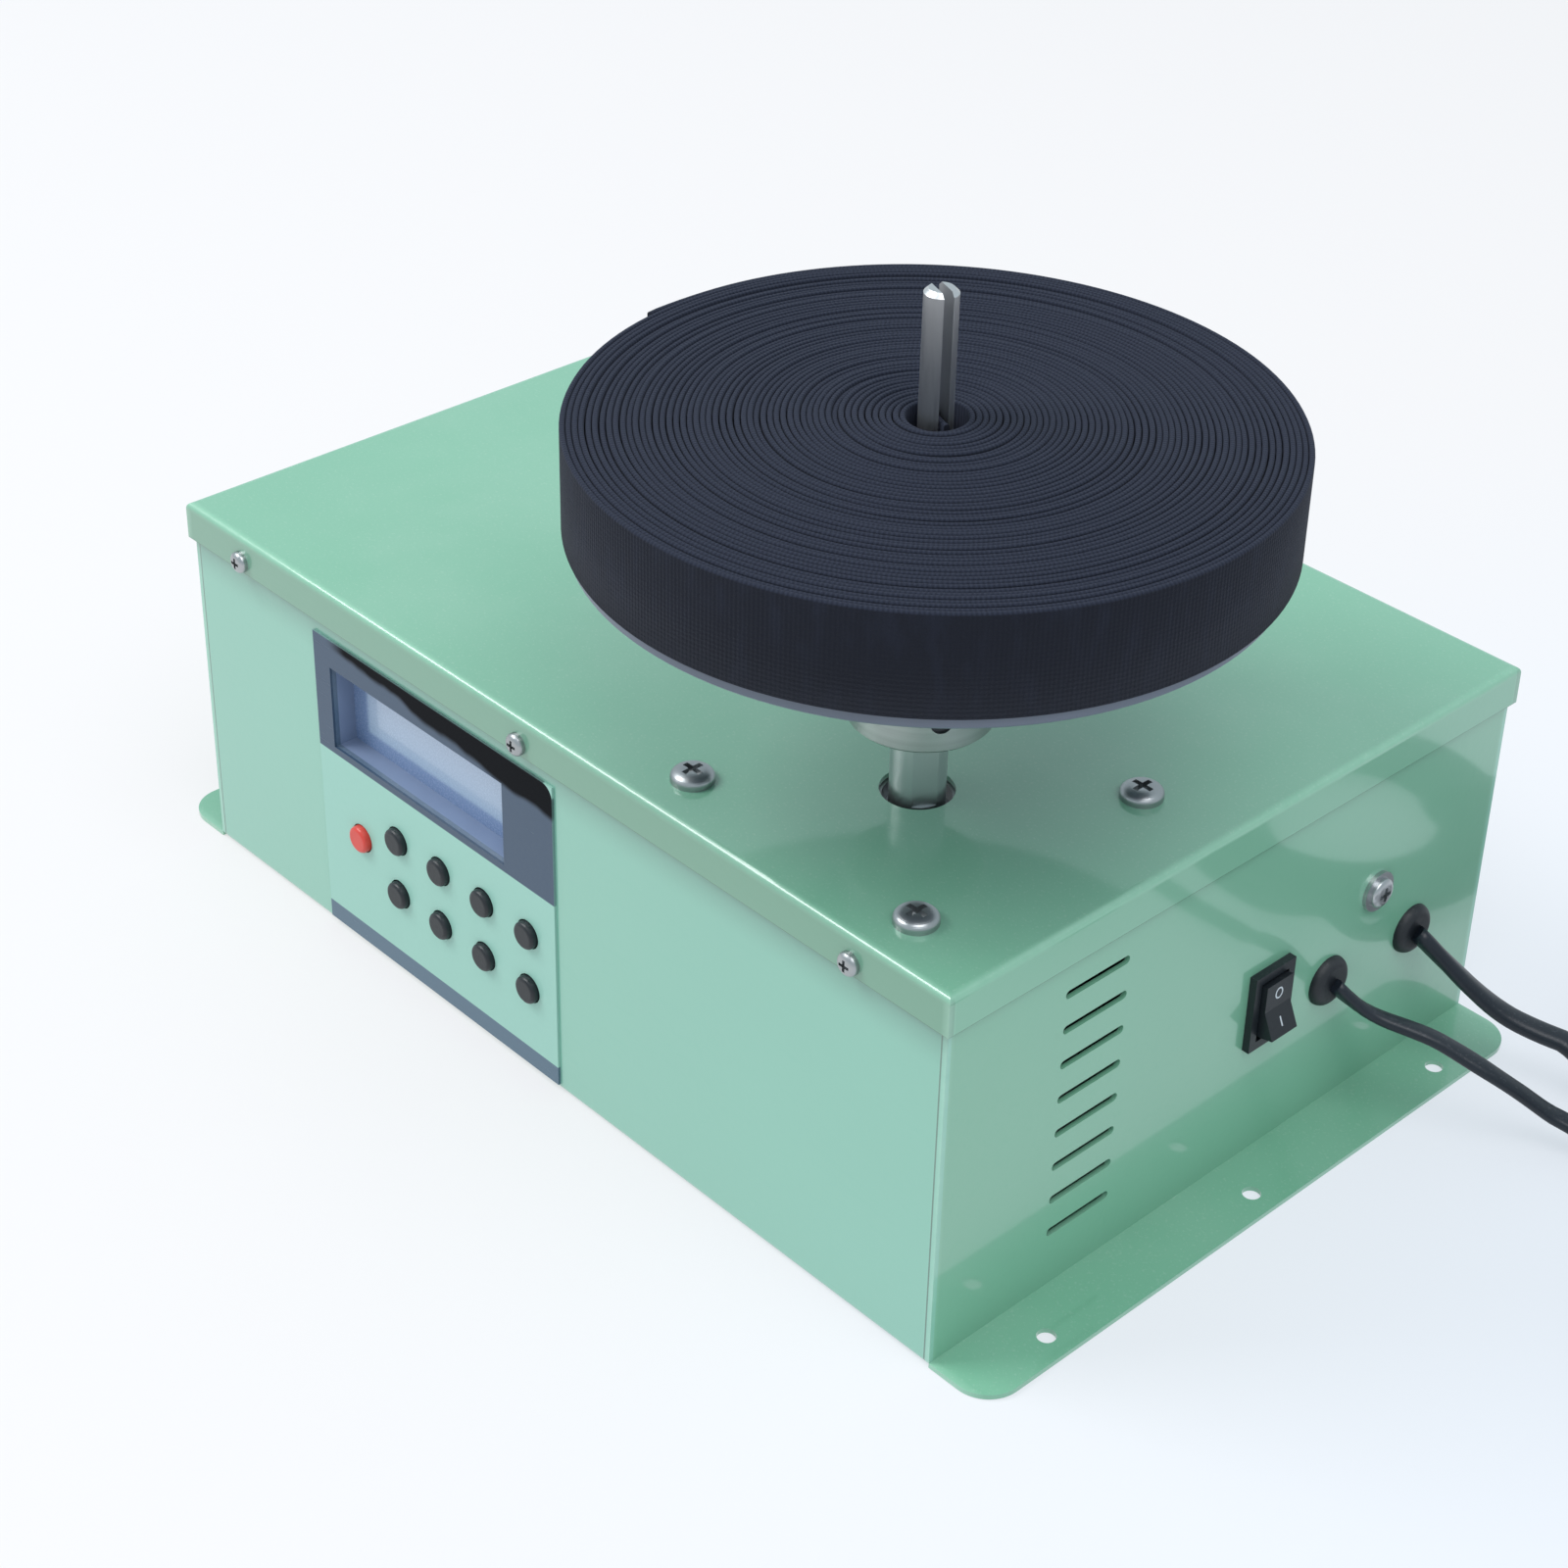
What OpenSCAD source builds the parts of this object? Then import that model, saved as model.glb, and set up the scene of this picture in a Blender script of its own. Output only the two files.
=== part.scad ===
// Bench-top tape winding machine: sheet-steel case, geared display panel on the front,
// a vertical motor spindle through the lid, and a platter that carries the roll of tape.
// Origin: centre of the case's footprint, on the surface that it stands on. +Z is up,
// -Y is the front with the display, and +X is the end with the switch and the cords.

/* [Case] */
// Length of the lid, left to right
case_l = 270; // [250:1:340]
// Width of the lid, front to back
case_w = 192; // [180:1:260]
// Height of the case, floor to lid top
case_h = 101.5; // [96:0.5:140]
// Thickness of the case sheets
sheet_t = 1.2; // [0.8:0.1:1.6]
// Outer radius of the sheet folds
fold_r = 1.8; // [1.7:0.1:3]
// Depth of the lid's folded edge
lid_lip = 10; // [8:0.5:12]
// Gap between the lid's edge and the walls
lid_gap = 0.1; // [0.1:0.1:0.5]
// Width of the lips that join the end panels to the chassis
weld_lip = 10; // [6:1:14]

/* [Base flanges] */
// How far a flange stands out from its wall
flange_out = 17.8; // [16:0.2:26]
// Radius of the flange corners
flange_corner_r = 9; // [4:0.5:12]
// Diameter of the mounting holes
flange_hole_d = 4.5; // [3.4:0.1:5.5]
// Distance from the wall to the hole centres
flange_hole_out = 11.3; // [8:0.1:13]
// Distance between neighbouring mounting holes
flange_hole_pitch = 69.6; // [50:0.1:80]

/* [Lid screws] */
// Thread diameter of the lid screws
lid_screw_d = 3; // [3:0.5:4]
// Head diameter of the lid screws
lid_head_d = 5.6; // [5:0.1:8]
// Height of the lid screws above the lid edge
lid_screw_up = 3; // [2.6:0.1:5]
// Distance from the left end of the lid to the first lid screw
lid_screw_from_left = 23.5; // [18:0.5:40]
// Distance between neighbouring lid screws
lid_screw_pitch = 109; // [60:0.5:110]

/* [Motor] */
// Distance from the right end of the lid to the spindle
spindle_from_right = 57.8; // [50:0.1:80]
// Distance from the inner face of the front to the spindle
spindle_from_front = 45.5; // [43.5:0.1:77.5]
// Width of the motor's square flange
motor_size = 86; // [80:1:86]
// Distance between the motor screws
motor_pitch = 69.6; // [66:0.1:72]
// Length of the motor below its flange face
motor_l = 74; // [66:1:80]
// Thickness of the motor flange
motor_flange_t = 10; // [9:0.5:14]
// Thickness of the spacer between the motor and the lid
spacer_t = 2; // [1.8:0.1:4]
// Diameter of the motor's pilot boss
pilot_d = 60; // [40:1:64]
// Height of the motor's pilot boss
pilot_h = 1.6; // [0.5:0.1:1.6]
// Thread diameter of the motor screws
motor_screw_d = 5; // [4:0.5:6]
// Head diameter of the motor screws
motor_head_d = 10; // [8:0.5:11]
// Diameter of the motor shaft
shaft_d = 12.7; // [10:0.1:14]
// Outer diameter of the ball bearings
bearing_d = 28; // [24:1:32]
// Width of the ball bearings
bearing_w = 8; // [6:0.5:8]
// Diameter of the rotor core
rotor_d = 51; // [40:1:56]
// Diameter of the lid's hole for the shaft
lid_hole_d = 17; // [15:0.5:24]

/* [Winding head] */
// Gap between the lid and the hub
hub_up = 19.5; // [10:0.5:30]
// Diameter of the hub
hub_d = 32.5; // [28:0.5:40]
// Height of the hub
hub_h = 44.5; // [38:0.5:60]
// How far the shaft reaches into the hub
shaft_in_hub = 17; // [14:0.5:20]
// Diameter of the platter
platter_d = 151; // [100:1:180]
// Thickness of the platter
platter_t = 3; // [3:0.5:6]
// Diameter of the winding pin
pin_d = 7.4; // [7:0.1:9]
// Height of the winding pin above the platter
pin_h = 53; // [40:1:80]
// Width of the slot in the winding pin
pin_slot = 2.2; // [1.8:0.1:2.6]
// Direction that the slot faces
pin_turn = 70; // [0:5:175]
// Outer diameter of the tape roll
roll_d = 155.6; // [60:0.1:180]
// Width of the tape
tape_w = 25; // [10:0.5:34]
// Thickness of the tape
tape_t = 1.2; // [0.4:0.1:1.4]
// Diameter of the opening in the tape roll
roll_hole_d = 13; // [13:0.5:30]

/* [Front panel] */
// Distance from the left end of the lid to the overlay
overlay_from_left = 51.7; // [40:0.1:60]
// Width of the overlay
overlay_w = 91.8; // [88:0.1:96]
// Height of the overlay
overlay_h = 87.5; // [85.5:0.1:89.5]
// Thickness of the overlay
overlay_t = 0.6; // [0.3:0.1:1]
// Width of the display opening
display_w = 67; // [60:0.5:70]
// Height of the display opening
display_h = 23; // [16:0.5:24]
// Depth of the display behind the front
display_depth = 6; // [4:0.5:6]
// Diameter of the button caps
cap_d = 7.2; // [6:0.1:8.5]
// How far the button caps stand out
cap_out = 1.8; // [1.4:0.1:4]
// Distance between neighbouring buttons
key_pitch = 16.9; // [13:0.1:17]
// Travel of a button
key_travel = 1; // [0.3:0.1:1]

/* [Right end] */
// Width of the rocker switch bezel
rocker_w = 14; // [14:0.5:18]
// Height of the rocker switch bezel
rocker_h = 21; // [21:0.5:24]
// Angle between the two positions of the rocker
rocker_throw = 24; // [16:1:24]
// Outer diameter of the cord grommets
grommet_d = 13; // [12:0.5:15]
// Number of vent slots
vent_count = 8; // [1:1:8]
// Length of a vent slot
vent_l = 20; // [10:1:24]
// Width of a vent slot
vent_w = 2.2; // [1.4:0.1:4]
// Distance between neighbouring vent slots
vent_pitch = 9.4; // [6:0.1:9.6]

/* [Cords] */
// Width of the flat power cord
power_w = 6.4; // [5.6:0.1:7]
// Thickness of the flat power cord
power_t = 4.2; // [3.4:0.1:4.6]
// Width of the flat signal cord
signal_w = 5.4; // [4.6:0.1:6]
// Thickness of the flat signal cord
signal_t = 3.2; // [2.6:0.1:3.6]

/* [Hidden] */
$fn = 64;
eps = 0.01;
fit = 0.03;          // radial clearance between pieces that are fixed to each other
run_fit = 0.05;      // radial clearance of what turns in a hole
bolt_gap = 0.25;     // radial clearance of a screw in a plain hole
fold_steps = 8;      // flats that make a quarter turn of a fold

// Case planes
wall_x = case_l / 2 - sheet_t - lid_gap;   // outer face of the end panels
wall_y = case_w / 2 - sheet_t - lid_gap;   // outer face of the front and the back
under_lid = case_h - sheet_t;
wall_top = under_lid - 1;                  // the walls stop short of the lid's inner fold
lip_z = case_h - lid_lip;
front_in = -wall_y + sheet_t;              // inner face of the front

// Lid screws
lid_screw_z = lip_z + lid_screw_up;
lid_screw_x = [for (i = [0:2]) -case_l / 2 + lid_screw_from_left + i * lid_screw_pitch];
lid_head_h = 2;
clinch_nut_t = 2;
clinch_nut_d = 8;
lid_screw_l = 2 * sheet_t + lid_gap + clinch_nut_t + 0.2;

// Spindle and motor, from the lid down
sx = case_l / 2 - spindle_from_right;
sy = front_in + spindle_from_front;
flange_top = under_lid - spacer_t;
flange_low = flange_top - motor_flange_t;
motor_low = flange_top - motor_l;
cap_h = 14;
cap_top = motor_low + cap_h;
bearing_floor = 1;
stator_d = 2 * (motor_pitch / sqrt(2) - motor_screw_d - 1.2);
air_gap = 0.4;
motor_head_h = 3;
motor_nut_af = 8;
motor_nut_h = 4;

// Winding head, from the lid up
hub_z = case_h + hub_up;
platter_z = hub_z + hub_h;
roll_z = platter_z + platter_t;
pin_top = roll_z + pin_h;
shaft_top = hub_z + shaft_in_hub;
pin_root_d = pin_d - 0.2;
pin_root_l = hub_h - shaft_in_hub - 4;
pin_slot_up = 3;       // solid foot of the winding pin below its slot
pin_chamfer = 1;
flat_depth = 0.7;      // flat on the shaft
platter_screw_d = 4;
platter_screw_r = hub_d / 3;
platter_screw_l = 12;
grub_d = 5;
grub_z = hub_z + 7.5;

// Overlay, display and buttons
ox = -case_l / 2 + overlay_from_left;
display_x = ox + 39.8;
display_z = overlay_h - 19.5;
key_x = [for (i = [0:3]) ox + 30.8 + i * key_pitch];
key_z = [41, 25];
stop_x = ox + 15.8;
stop_z = 34;
key_spots = concat([for (z = key_z, x = key_x) [x, z]], [[stop_x, stop_z]]);
cap_gap = 0.3;
cap_rim = 1;
cap_rim_t = 1;
glass_y = -wall_y + display_depth;
glass_t = 1.8;
shroud_t = 2;
board_y = -wall_y + 10.7;
board_t = 1.6;
board_w = overlay_w - 6;
board_z = 7.5;
board_h = overlay_h + 2 - board_z;
board_hole_in = 4;
board_screw_d = 2.5;
board_screw_l = 6;
board_screw_head_d = 5;
board_screw_head_h = 1.8;
standoff_d = 5.6;
switch_w = 6;
switch_h = 4.2;
stem_d = 3.4;
stem_gap = 0.3;
cap_back = board_y - switch_h - key_travel - stem_gap;
stem_tip = cap_back - 1.7;

// Right end
vent_y = -case_w / 2 + 47;
vent_top = 82.5;
rocker_y = -case_w / 2 + 108;
rocker_z = 44.5;
rocker_bezel_t = 2;
rocker_in_w = 9.6;
rocker_in_h = 16.4;
rocker_body_w = 13;
rocker_body_h = 19;
rocker_depth = 13;
paddle_gap = 0.3;
trunnion_d = 2.4;
earth_y = -case_w / 2 + 146.5;
earth_z = 57.5;
earth_d = 4;
earth_washer_d = 10.4;
earth_head_d = 7.6;
earth_head_h = 1.8;
earth_l = 12;
power_y = -case_w / 2 + 163;
power_z = 38.5;
signal_y = -case_w / 2 + 131;
signal_z = 39;
grommet_hole_d = 9.6;
grommet_out = 2.4;
grommet_tip_d = 8.4;
grommet_in = 16;

// Power cord: its free run, the coil that stores the rest of it, and the plug
power_coil_at = [204, 136];
power_coil_r = 36;              // middle of the turns
power_turns = 3;                // turns side by side in each of the two layers
power_in_angle = -73;
power_out_angle = -53;
power_run = [
    [136, 66.6, 38.5], [138, 67.8, 36.6], [140.4, 69.6, 33.6], [143.5, 72, 29.9], [148, 74.9, 25.1],
    [152.5, 77.8, 20.9], [157, 80.2, 18.1], [161.5, 82.4, 16.5], [166, 84.5, 15.4],
    [170, 86.2, 14.6], [176, 87.4, 11.6], [183, 87.9, 7.6], [190, 88.2, 4.8], [198, 89.4, 3],
    [206, 90.6, 2.2]
];
power_tail = [
    [238, 104.4, 6], [244, 109, 4.8], [250, 113.4, 4.2], [256, 118, 4.8], [260, 121, 6]
];
plug_at = [264, 124];
plug_turn = 36.87;
plug_l = 36;
plug_w = 34;
plug_t = 13.6;
plug_pin_d = 4;
plug_pin_l = 19;
plug_pin_pitch = 19;

// Signal cord, with its coil and its connector for a foot switch
signal_coil_at = [262, 42];
signal_coil_r = 30;
signal_turns = 3;
signal_in_angle = 100;
signal_out_angle = 0;
signal_run = [
    [136, 34.8, 39], [138.5, 37.8, 35.2], [141.5, 40.7, 31.9], [145.5, 43.4, 29.9], [151.5, 46.3, 28.9],
    [156.5, 49.1, 27.5], [161.5, 52.2, 24.8], [168.5, 56, 21], [174.5, 61.4, 15.5], [180, 66, 10.4],
    [184, 68.2, 8.6], [190, 70.6, 6.4], [197, 73, 4], [205, 74.8, 2.2], [214, 76, 1.6],
    [224, 76.8, 1.6], [234, 77.4, 1.6], [244, 78, 1.6]
];
signal_tail = [
    [300, 35, 4.4], [300, 28, 3.6], [300, 21, 3.8], [300, 14, 5.4]
];
plug2_at = [300, 8];
plug2_l = 44;
plug2_d = 14;
cord_sides = 10;

// ---- shared shapes ----

// Points of an arc about c, from angle a to angle b
function arc(c, r, a, b, n = fold_steps) =
    [for (i = [0:n]) c + r * [cos(a + (b - a) * i / n), sin(a + (b - a) * i / n)]];

// Upright outline of width w from z0 to z1, with its two top corners rounded
module arch(w, z0, z1, r) {
    polygon(concat(
        [[-w / 2, z0], [w / 2, z0]],
        arc([w / 2 - r, z1 - r], r, 0, 90),
        arc([-w / 2 + r, z1 - r], r, 90, 180)
    ));
}

// Block whose four top edges are folds and whose corners are mitred
module folded_block(l, w, z0, z1, r) {
    intersection() {
        translate([0, w, 0]) rotate([90, 0, 0]) linear_extrude(2 * w) arch(l, z0, z1, r);
        translate([-l, 0, 0]) rotate([90, 0, 90]) linear_extrude(2 * l) arch(w, z0, z1, r);
    }
}

// Round-ended slot along Y through a plate in the YZ plane
module slot_x(l, w, t) {
    rotate([0, 90, 0]) {
        for (s = [-1, 1]) translate([0, s * (l - w) / 2, 0]) cylinder(h = t, d = w, center = true);
        cube([w, l - w, t], center = true);
    }
}

// Pan-head screw along Z with its head above z = 0 and a cross recess
module pan_screw(d, l, head_d, head_h) {
    difference() {
        union() {
            translate([0, 0, -l]) cylinder(h = l + eps, d = d);
            rotate_extrude() polygon(concat(
                [[0, 0], [head_d / 2, 0]],
                [for (a = [0:10:90])
                    [head_d / 2 * (0.35 + 0.65 * cos(a)), head_h * (0.35 + 0.65 * sin(a))]],
                [[0, head_h]]
            ));
        }
        for (a = [0, 90]) rotate([0, 0, a])
            translate([0, 0, head_h]) cube([head_d * 0.52, head_d * 0.13, head_h * 1.1], center = true);
    }
}

module hex_nut(d, af, h) {
    difference() {
        cylinder(h = h, d = af / cos(30), $fn = 6);
        translate([0, 0, -eps]) cylinder(h = h + 2 * eps, d = d + 2 * fit);
    }
}

module ring(od, id, h) {
    difference() {
        cylinder(h = h, d = od);
        translate([0, 0, -eps]) cylinder(h = h + 2 * eps, d = id);
    }
}

module at_spindle(z = 0) { translate([sx, sy, z]) children(); }

module at_motor_screws(z = 0) {
    for (i = [-1, 1], j = [-1, 1]) at_spindle(z) translate([i, j, 0] * motor_pitch / 2) children();
}

module at_lid_screws() {
    for (x = lid_screw_x, s = [-1, 1])
        translate([x, 0, lid_screw_z]) rotate([0, 0, s < 0 ? 0 : 180]) children();
}

module at_key(spot) { translate([spot[0], 0, spot[1]]) rotate([-90, 0, 0]) children(); }

module at_board_corners() {
    for (i = [0, 1], j = [0, 1]) translate([
        ox + (overlay_w - board_w) / 2 + board_hole_in + i * (board_w - 2 * board_hole_in), 0,
        board_z + board_hole_in + j * (board_h - 2 * board_hole_in)
    ]) children();
}

// Flat cord swept along points, its wide side level
module cord_tube(points, w, t) {
    n = len(points);
    rings = [for (i = [0:n - 1])
        let (d = points[min(i + 1, n - 1)] - points[max(i - 1, 0)],
             along = d / norm(d),
             across = cross(along, [0, 0, 1]) / norm(cross(along, [0, 0, 1])),
             up = cross(across, along))
        for (k = [0:cord_sides - 1])
            let (a = 360 * (k + 0.5) / cord_sides)
            points[i] + across * cos(a) * w / 2 + up * sin(a) * t / 2];
    sides = [for (i = [0:n - 2], k = [0:cord_sides - 1])
        let (k2 = (k + 1) % cord_sides, a = i * cord_sides, b = a + cord_sides)
        each [[a + k, b + k, b + k2], [a + k, b + k2, a + k2]]];
    polyhedron(rings, concat(
        [[for (k = [0:cord_sides - 1]) k]],
        sides,
        [[for (k = [cord_sides - 1:-1:0]) (n - 1) * cord_sides + k]]
    ));
}

// Radius of a coil's outermost turn, and the place of that turn at an angle
function turn_r(r, w, turns) = r + w * turns / 2;
function coil_point(at, r, angle, z) = [at[0] + r * cos(angle), at[1] + r * sin(angle), z];

module cord_coil(at, r, w, t, turns) {
    translate([at[0], at[1], 0])
        ring(2 * turn_r(r, w, turns) + w, 2 * turn_r(r, w, -turns) - w, 2 * t);
}

// ---- case ----

module chassis() {
    color([0.60, 0.80, 0.72]) difference() {
        // floor with the front and the back folded up from it
        mirror([0, 0, 1]) difference() {
            rotate([90, 0, 90]) translate([0, 0, -wall_x])
                linear_extrude(2 * wall_x) arch(2 * wall_y, -wall_top, 0, fold_r);
            rotate([90, 0, 90]) translate([0, 0, -case_l])
                linear_extrude(2 * case_l)
                    arch(2 * (wall_y - sheet_t), -wall_top - 1, -sheet_t, fold_r - sheet_t);
        }
        // room for the end panels
        for (s = [-1, 1]) translate([s * wall_x, 0, case_h / 2])
            cube([2 * sheet_t, 2 * (wall_y - sheet_t), 2 * case_h], center = true);
        // holes for the lid screws, the display and the buttons
        at_lid_screws() translate([0, -wall_y - 1, 0]) rotate([-90, 0, 0])
            cylinder(h = sheet_t + 2, d = lid_screw_d + bolt_gap);
        translate([display_x, -wall_y, display_z]) cube([display_w, 4 * sheet_t, display_h], center = true);
        for (p = key_spots) translate([0, -wall_y - 1, 0]) at_key(p)
            cylinder(h = sheet_t + 2, d = cap_d + 2 * cap_gap);
    }
}

// End panel for the +X end, without its openings
module end_panel() {
    inner = wall_y - sheet_t;
    difference() {
        union() {
            // wall with the fold at its foot
            translate([0, inner, 0]) rotate([90, 0, 0]) linear_extrude(2 * inner) polygon(concat(
                [[wall_x + eps, 0], [wall_x + eps, sheet_t], [wall_x, sheet_t], [wall_x, wall_top],
                 [wall_x - sheet_t, wall_top]],
                arc([wall_x - sheet_t + fold_r, fold_r], fold_r, 180, 270)
            ));
            // flange
            linear_extrude(sheet_t) polygon(concat(
                [[wall_x, wall_y], [wall_x, -wall_y]],
                arc([wall_x + flange_out - flange_corner_r, -wall_y + flange_corner_r],
                    flange_corner_r, -90, 0, 2 * fold_steps),
                arc([wall_x + flange_out - flange_corner_r, wall_y - flange_corner_r],
                    flange_corner_r, 0, 90, 2 * fold_steps)
            ));
            // lips behind the front and the back
            for (s = [-1, 1])
                translate([wall_x - sheet_t - weld_lip, s * (inner - sheet_t / 2) - sheet_t / 2, fold_r + sheet_t])
                    cube([weld_lip + sheet_t / 2, sheet_t, lid_screw_z - clinch_nut_d - fold_r - sheet_t]);
        }
        for (i = [-1:1]) translate([wall_x + flange_hole_out, i * flange_hole_pitch, -1])
            cylinder(h = sheet_t + 2, d = flange_hole_d);
        for (i = [0:vent_count - 1]) translate([wall_x, vent_y, vent_top - i * vent_pitch])
            slot_x(vent_l, vent_w, 4 * sheet_t);
    }
}

module left_end_panel() { color([0.56, 0.76, 0.68]) mirror([1, 0, 0]) end_panel(); }

module right_end_panel() {
    color([0.56, 0.76, 0.68]) difference() {
        end_panel();
        translate([wall_x, rocker_y, rocker_z])
            cube([4 * sheet_t, rocker_body_w + 2 * fit, rocker_body_h + 2 * fit], center = true);
        for (p = [[power_y, power_z], [signal_y, signal_z]])
            translate([wall_x, p[0], p[1]]) rotate([0, 90, 0])
                cylinder(h = 4 * sheet_t, d = grommet_hole_d, center = true);
        translate([wall_x, earth_y, earth_z]) rotate([0, 90, 0])
            cylinder(h = 4 * sheet_t, d = earth_d + 2 * bolt_gap, center = true);
    }
}

module lid() {
    color([0.62, 0.83, 0.73]) difference() {
        folded_block(case_l, case_w, lip_z, case_h, fold_r);
        folded_block(case_l - 2 * sheet_t, case_w - 2 * sheet_t, lip_z - 1, under_lid, fold_r - sheet_t);
        at_spindle(under_lid - 1) cylinder(h = sheet_t + 2, d = lid_hole_d);
        at_motor_screws(under_lid - 1) cylinder(h = sheet_t + 2, d = motor_screw_d + 2 * bolt_gap);
        at_lid_screws() translate([0, -case_w / 2 - 1, 0]) rotate([-90, 0, 0])
            cylinder(h = sheet_t + 1 + lid_gap, d = lid_screw_d + bolt_gap);
    }
}

module lid_screws() {
    color("silver") at_lid_screws() translate([0, -case_w / 2, 0]) rotate([90, 0, 0])
        pan_screw(lid_screw_d, lid_screw_l, lid_head_d, lid_head_h);
}

module clinch_nuts() {
    color([0.75, 0.75, 0.72]) at_lid_screws() translate([0, front_in, 0]) rotate([-90, 0, 0])
        ring(clinch_nut_d, lid_screw_d + 2 * fit, clinch_nut_t);
}

// ---- display and buttons ----

module front_overlay() {
    color([0.24, 0.32, 0.38]) difference() {
        translate([ox, -wall_y - overlay_t, fold_r]) cube([overlay_w, overlay_t, overlay_h - fold_r]);
        translate([display_x, -wall_y, display_z]) cube([display_w, 4 * overlay_t, display_h], center = true);
        for (p = key_spots) translate([0, -wall_y - overlay_t - 1, 0]) at_key(p)
            cylinder(h = overlay_t + 2, d = cap_d + 2 * cap_gap);
    }
}

module display_shroud() {
    depth = glass_y - front_in;
    color([0.2, 0.24, 0.3]) translate([display_x, front_in + depth / 2, display_z]) difference() {
        cube([display_w + 2 * shroud_t, depth, display_h + 2 * shroud_t], center = true);
        cube([display_w, depth + 1, display_h], center = true);
    }
}

module lcd_glass() {
    color([0.66, 0.74, 0.82]) translate([display_x, glass_y + glass_t / 2, display_z])
        cube([display_w + 2 * shroud_t, glass_t, display_h + 2 * shroud_t], center = true);
}

module lcd_backlight() {
    depth = board_y - glass_y - glass_t;
    color([0.85, 0.87, 0.85]) translate([display_x, board_y - depth / 2, display_z])
        cube([display_w + shroud_t, depth, display_h + shroud_t], center = true);
}

module control_board() {
    color([0.1, 0.35, 0.2]) difference() {
        translate([ox + (overlay_w - board_w) / 2, board_y, board_z]) cube([board_w, board_t, board_h]);
        at_board_corners() translate([0, board_y - 1, 0]) rotate([-90, 0, 0])
            cylinder(h = board_t + 2, d = board_screw_d + 2 * bolt_gap);
    }
}

module board_standoffs() {
    color("silver") at_board_corners() translate([0, front_in, 0]) rotate([-90, 0, 0])
        ring(standoff_d, board_screw_d + 2 * run_fit, board_y - front_in);
}

module board_screws() {
    color("gainsboro") at_board_corners() translate([0, board_y + board_t, 0]) rotate([-90, 0, 0])
        pan_screw(board_screw_d, board_screw_l, board_screw_head_d, board_screw_head_h);
}

module tact_switches() {
    color([0.15, 0.15, 0.16]) for (p = key_spots) {
        translate([p[0], board_y - switch_h / 2, p[1]]) cube([switch_w, switch_h, switch_w], center = true);
        translate([0, stem_tip, 0]) at_key(p) cylinder(h = board_y - switch_h - stem_tip + eps, d = stem_d);
    }
}

// Cap with a rounded face, a rim that keeps it behind the front, and a socket for the stem
module button_cap(spot) {
    front = -wall_y - overlay_t - cap_out;
    total = cap_back - front;
    rim_at = front_in + cap_gap - front;
    translate([0, front, 0]) at_key(spot) difference() {
        union() {
            rotate_extrude() polygon(concat(
                [[0, 0]],
                arc([cap_d / 2 - 1, 1], 1, -90, 0, 4),
                [[cap_d / 2, total], [0, total]]
            ));
            translate([0, 0, rim_at]) cylinder(h = cap_rim_t, d = cap_d + 2 * cap_gap + 2 * cap_rim);
        }
        translate([0, 0, stem_tip - front - key_travel - stem_gap])
            cylinder(h = total, d = stem_d + 2 * cap_gap);
    }
}

module key(i) { color([0.08, 0.09, 0.1]) button_cap(key_spots[i]); }
module stop_button() { color([0.85, 0.15, 0.12]) button_cap([stop_x, stop_z]); }

// ---- right end ----

module at_rocker() { translate([wall_x, rocker_y, rocker_z]) children(); }

module rocker_housing() {
    color([0.07, 0.08, 0.09]) at_rocker() difference() {
        union() {
            translate([0, -rocker_w / 2, -rocker_h / 2]) cube([rocker_bezel_t, rocker_w, rocker_h]);
            translate([-rocker_depth, -rocker_body_w / 2, -rocker_body_h / 2])
                cube([rocker_depth + eps, rocker_body_w, rocker_body_h]);
        }
        translate([2 - rocker_depth, -rocker_in_w / 2, -rocker_in_h / 2])
            cube([rocker_depth + rocker_bezel_t, rocker_in_w, rocker_in_h]);
        rotate([90, 0, 0])
            cylinder(h = rocker_in_w + 2, d = trunnion_d + 2 * run_fit, center = true);
    }
}

module rocker_paddle() {
    w = rocker_in_w - 2 * paddle_gap;
    half = rocker_in_h / 2 - 1.2;
    color([0.09, 0.1, 0.11]) at_rocker() rotate([0, -rocker_throw / 2, 0]) {
        translate([0, w / 2, 0]) rotate([90, 0, 0]) linear_extrude(w) polygon([
            [5, half], [3.5, 0], [5, -half], [1, -half], [-3.4, -2.6], [-3.4, 2.6], [1, half]
        ]);
        rotate([90, 0, 0]) cylinder(h = w + 1.4, d = trunnion_d, center = true);
    }
}

module rocker_terminals() {
    color([0.8, 0.7, 0.4]) at_rocker() for (s = [-1, 1])
        translate([-rocker_depth - 8, -2.4, s * 5 - 0.4]) cube([8, 4.8, 0.8]);
}

module at_earth(x) { translate([x, earth_y, earth_z]) rotate([0, 90, 0]) children(); }

module earth_screw() {
    color("silver") at_earth(wall_x + 1) pan_screw(earth_d, earth_l, earth_head_d, earth_head_h);
}

module earth_washer() {
    color("gainsboro") at_earth(wall_x) ring(earth_washer_d, earth_d + 2 * bolt_gap, 1);
}

module earth_nut() {
    color("silver") at_earth(wall_x - sheet_t - 3.2) hex_nut(earth_d, 7, 3.2);
}

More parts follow.
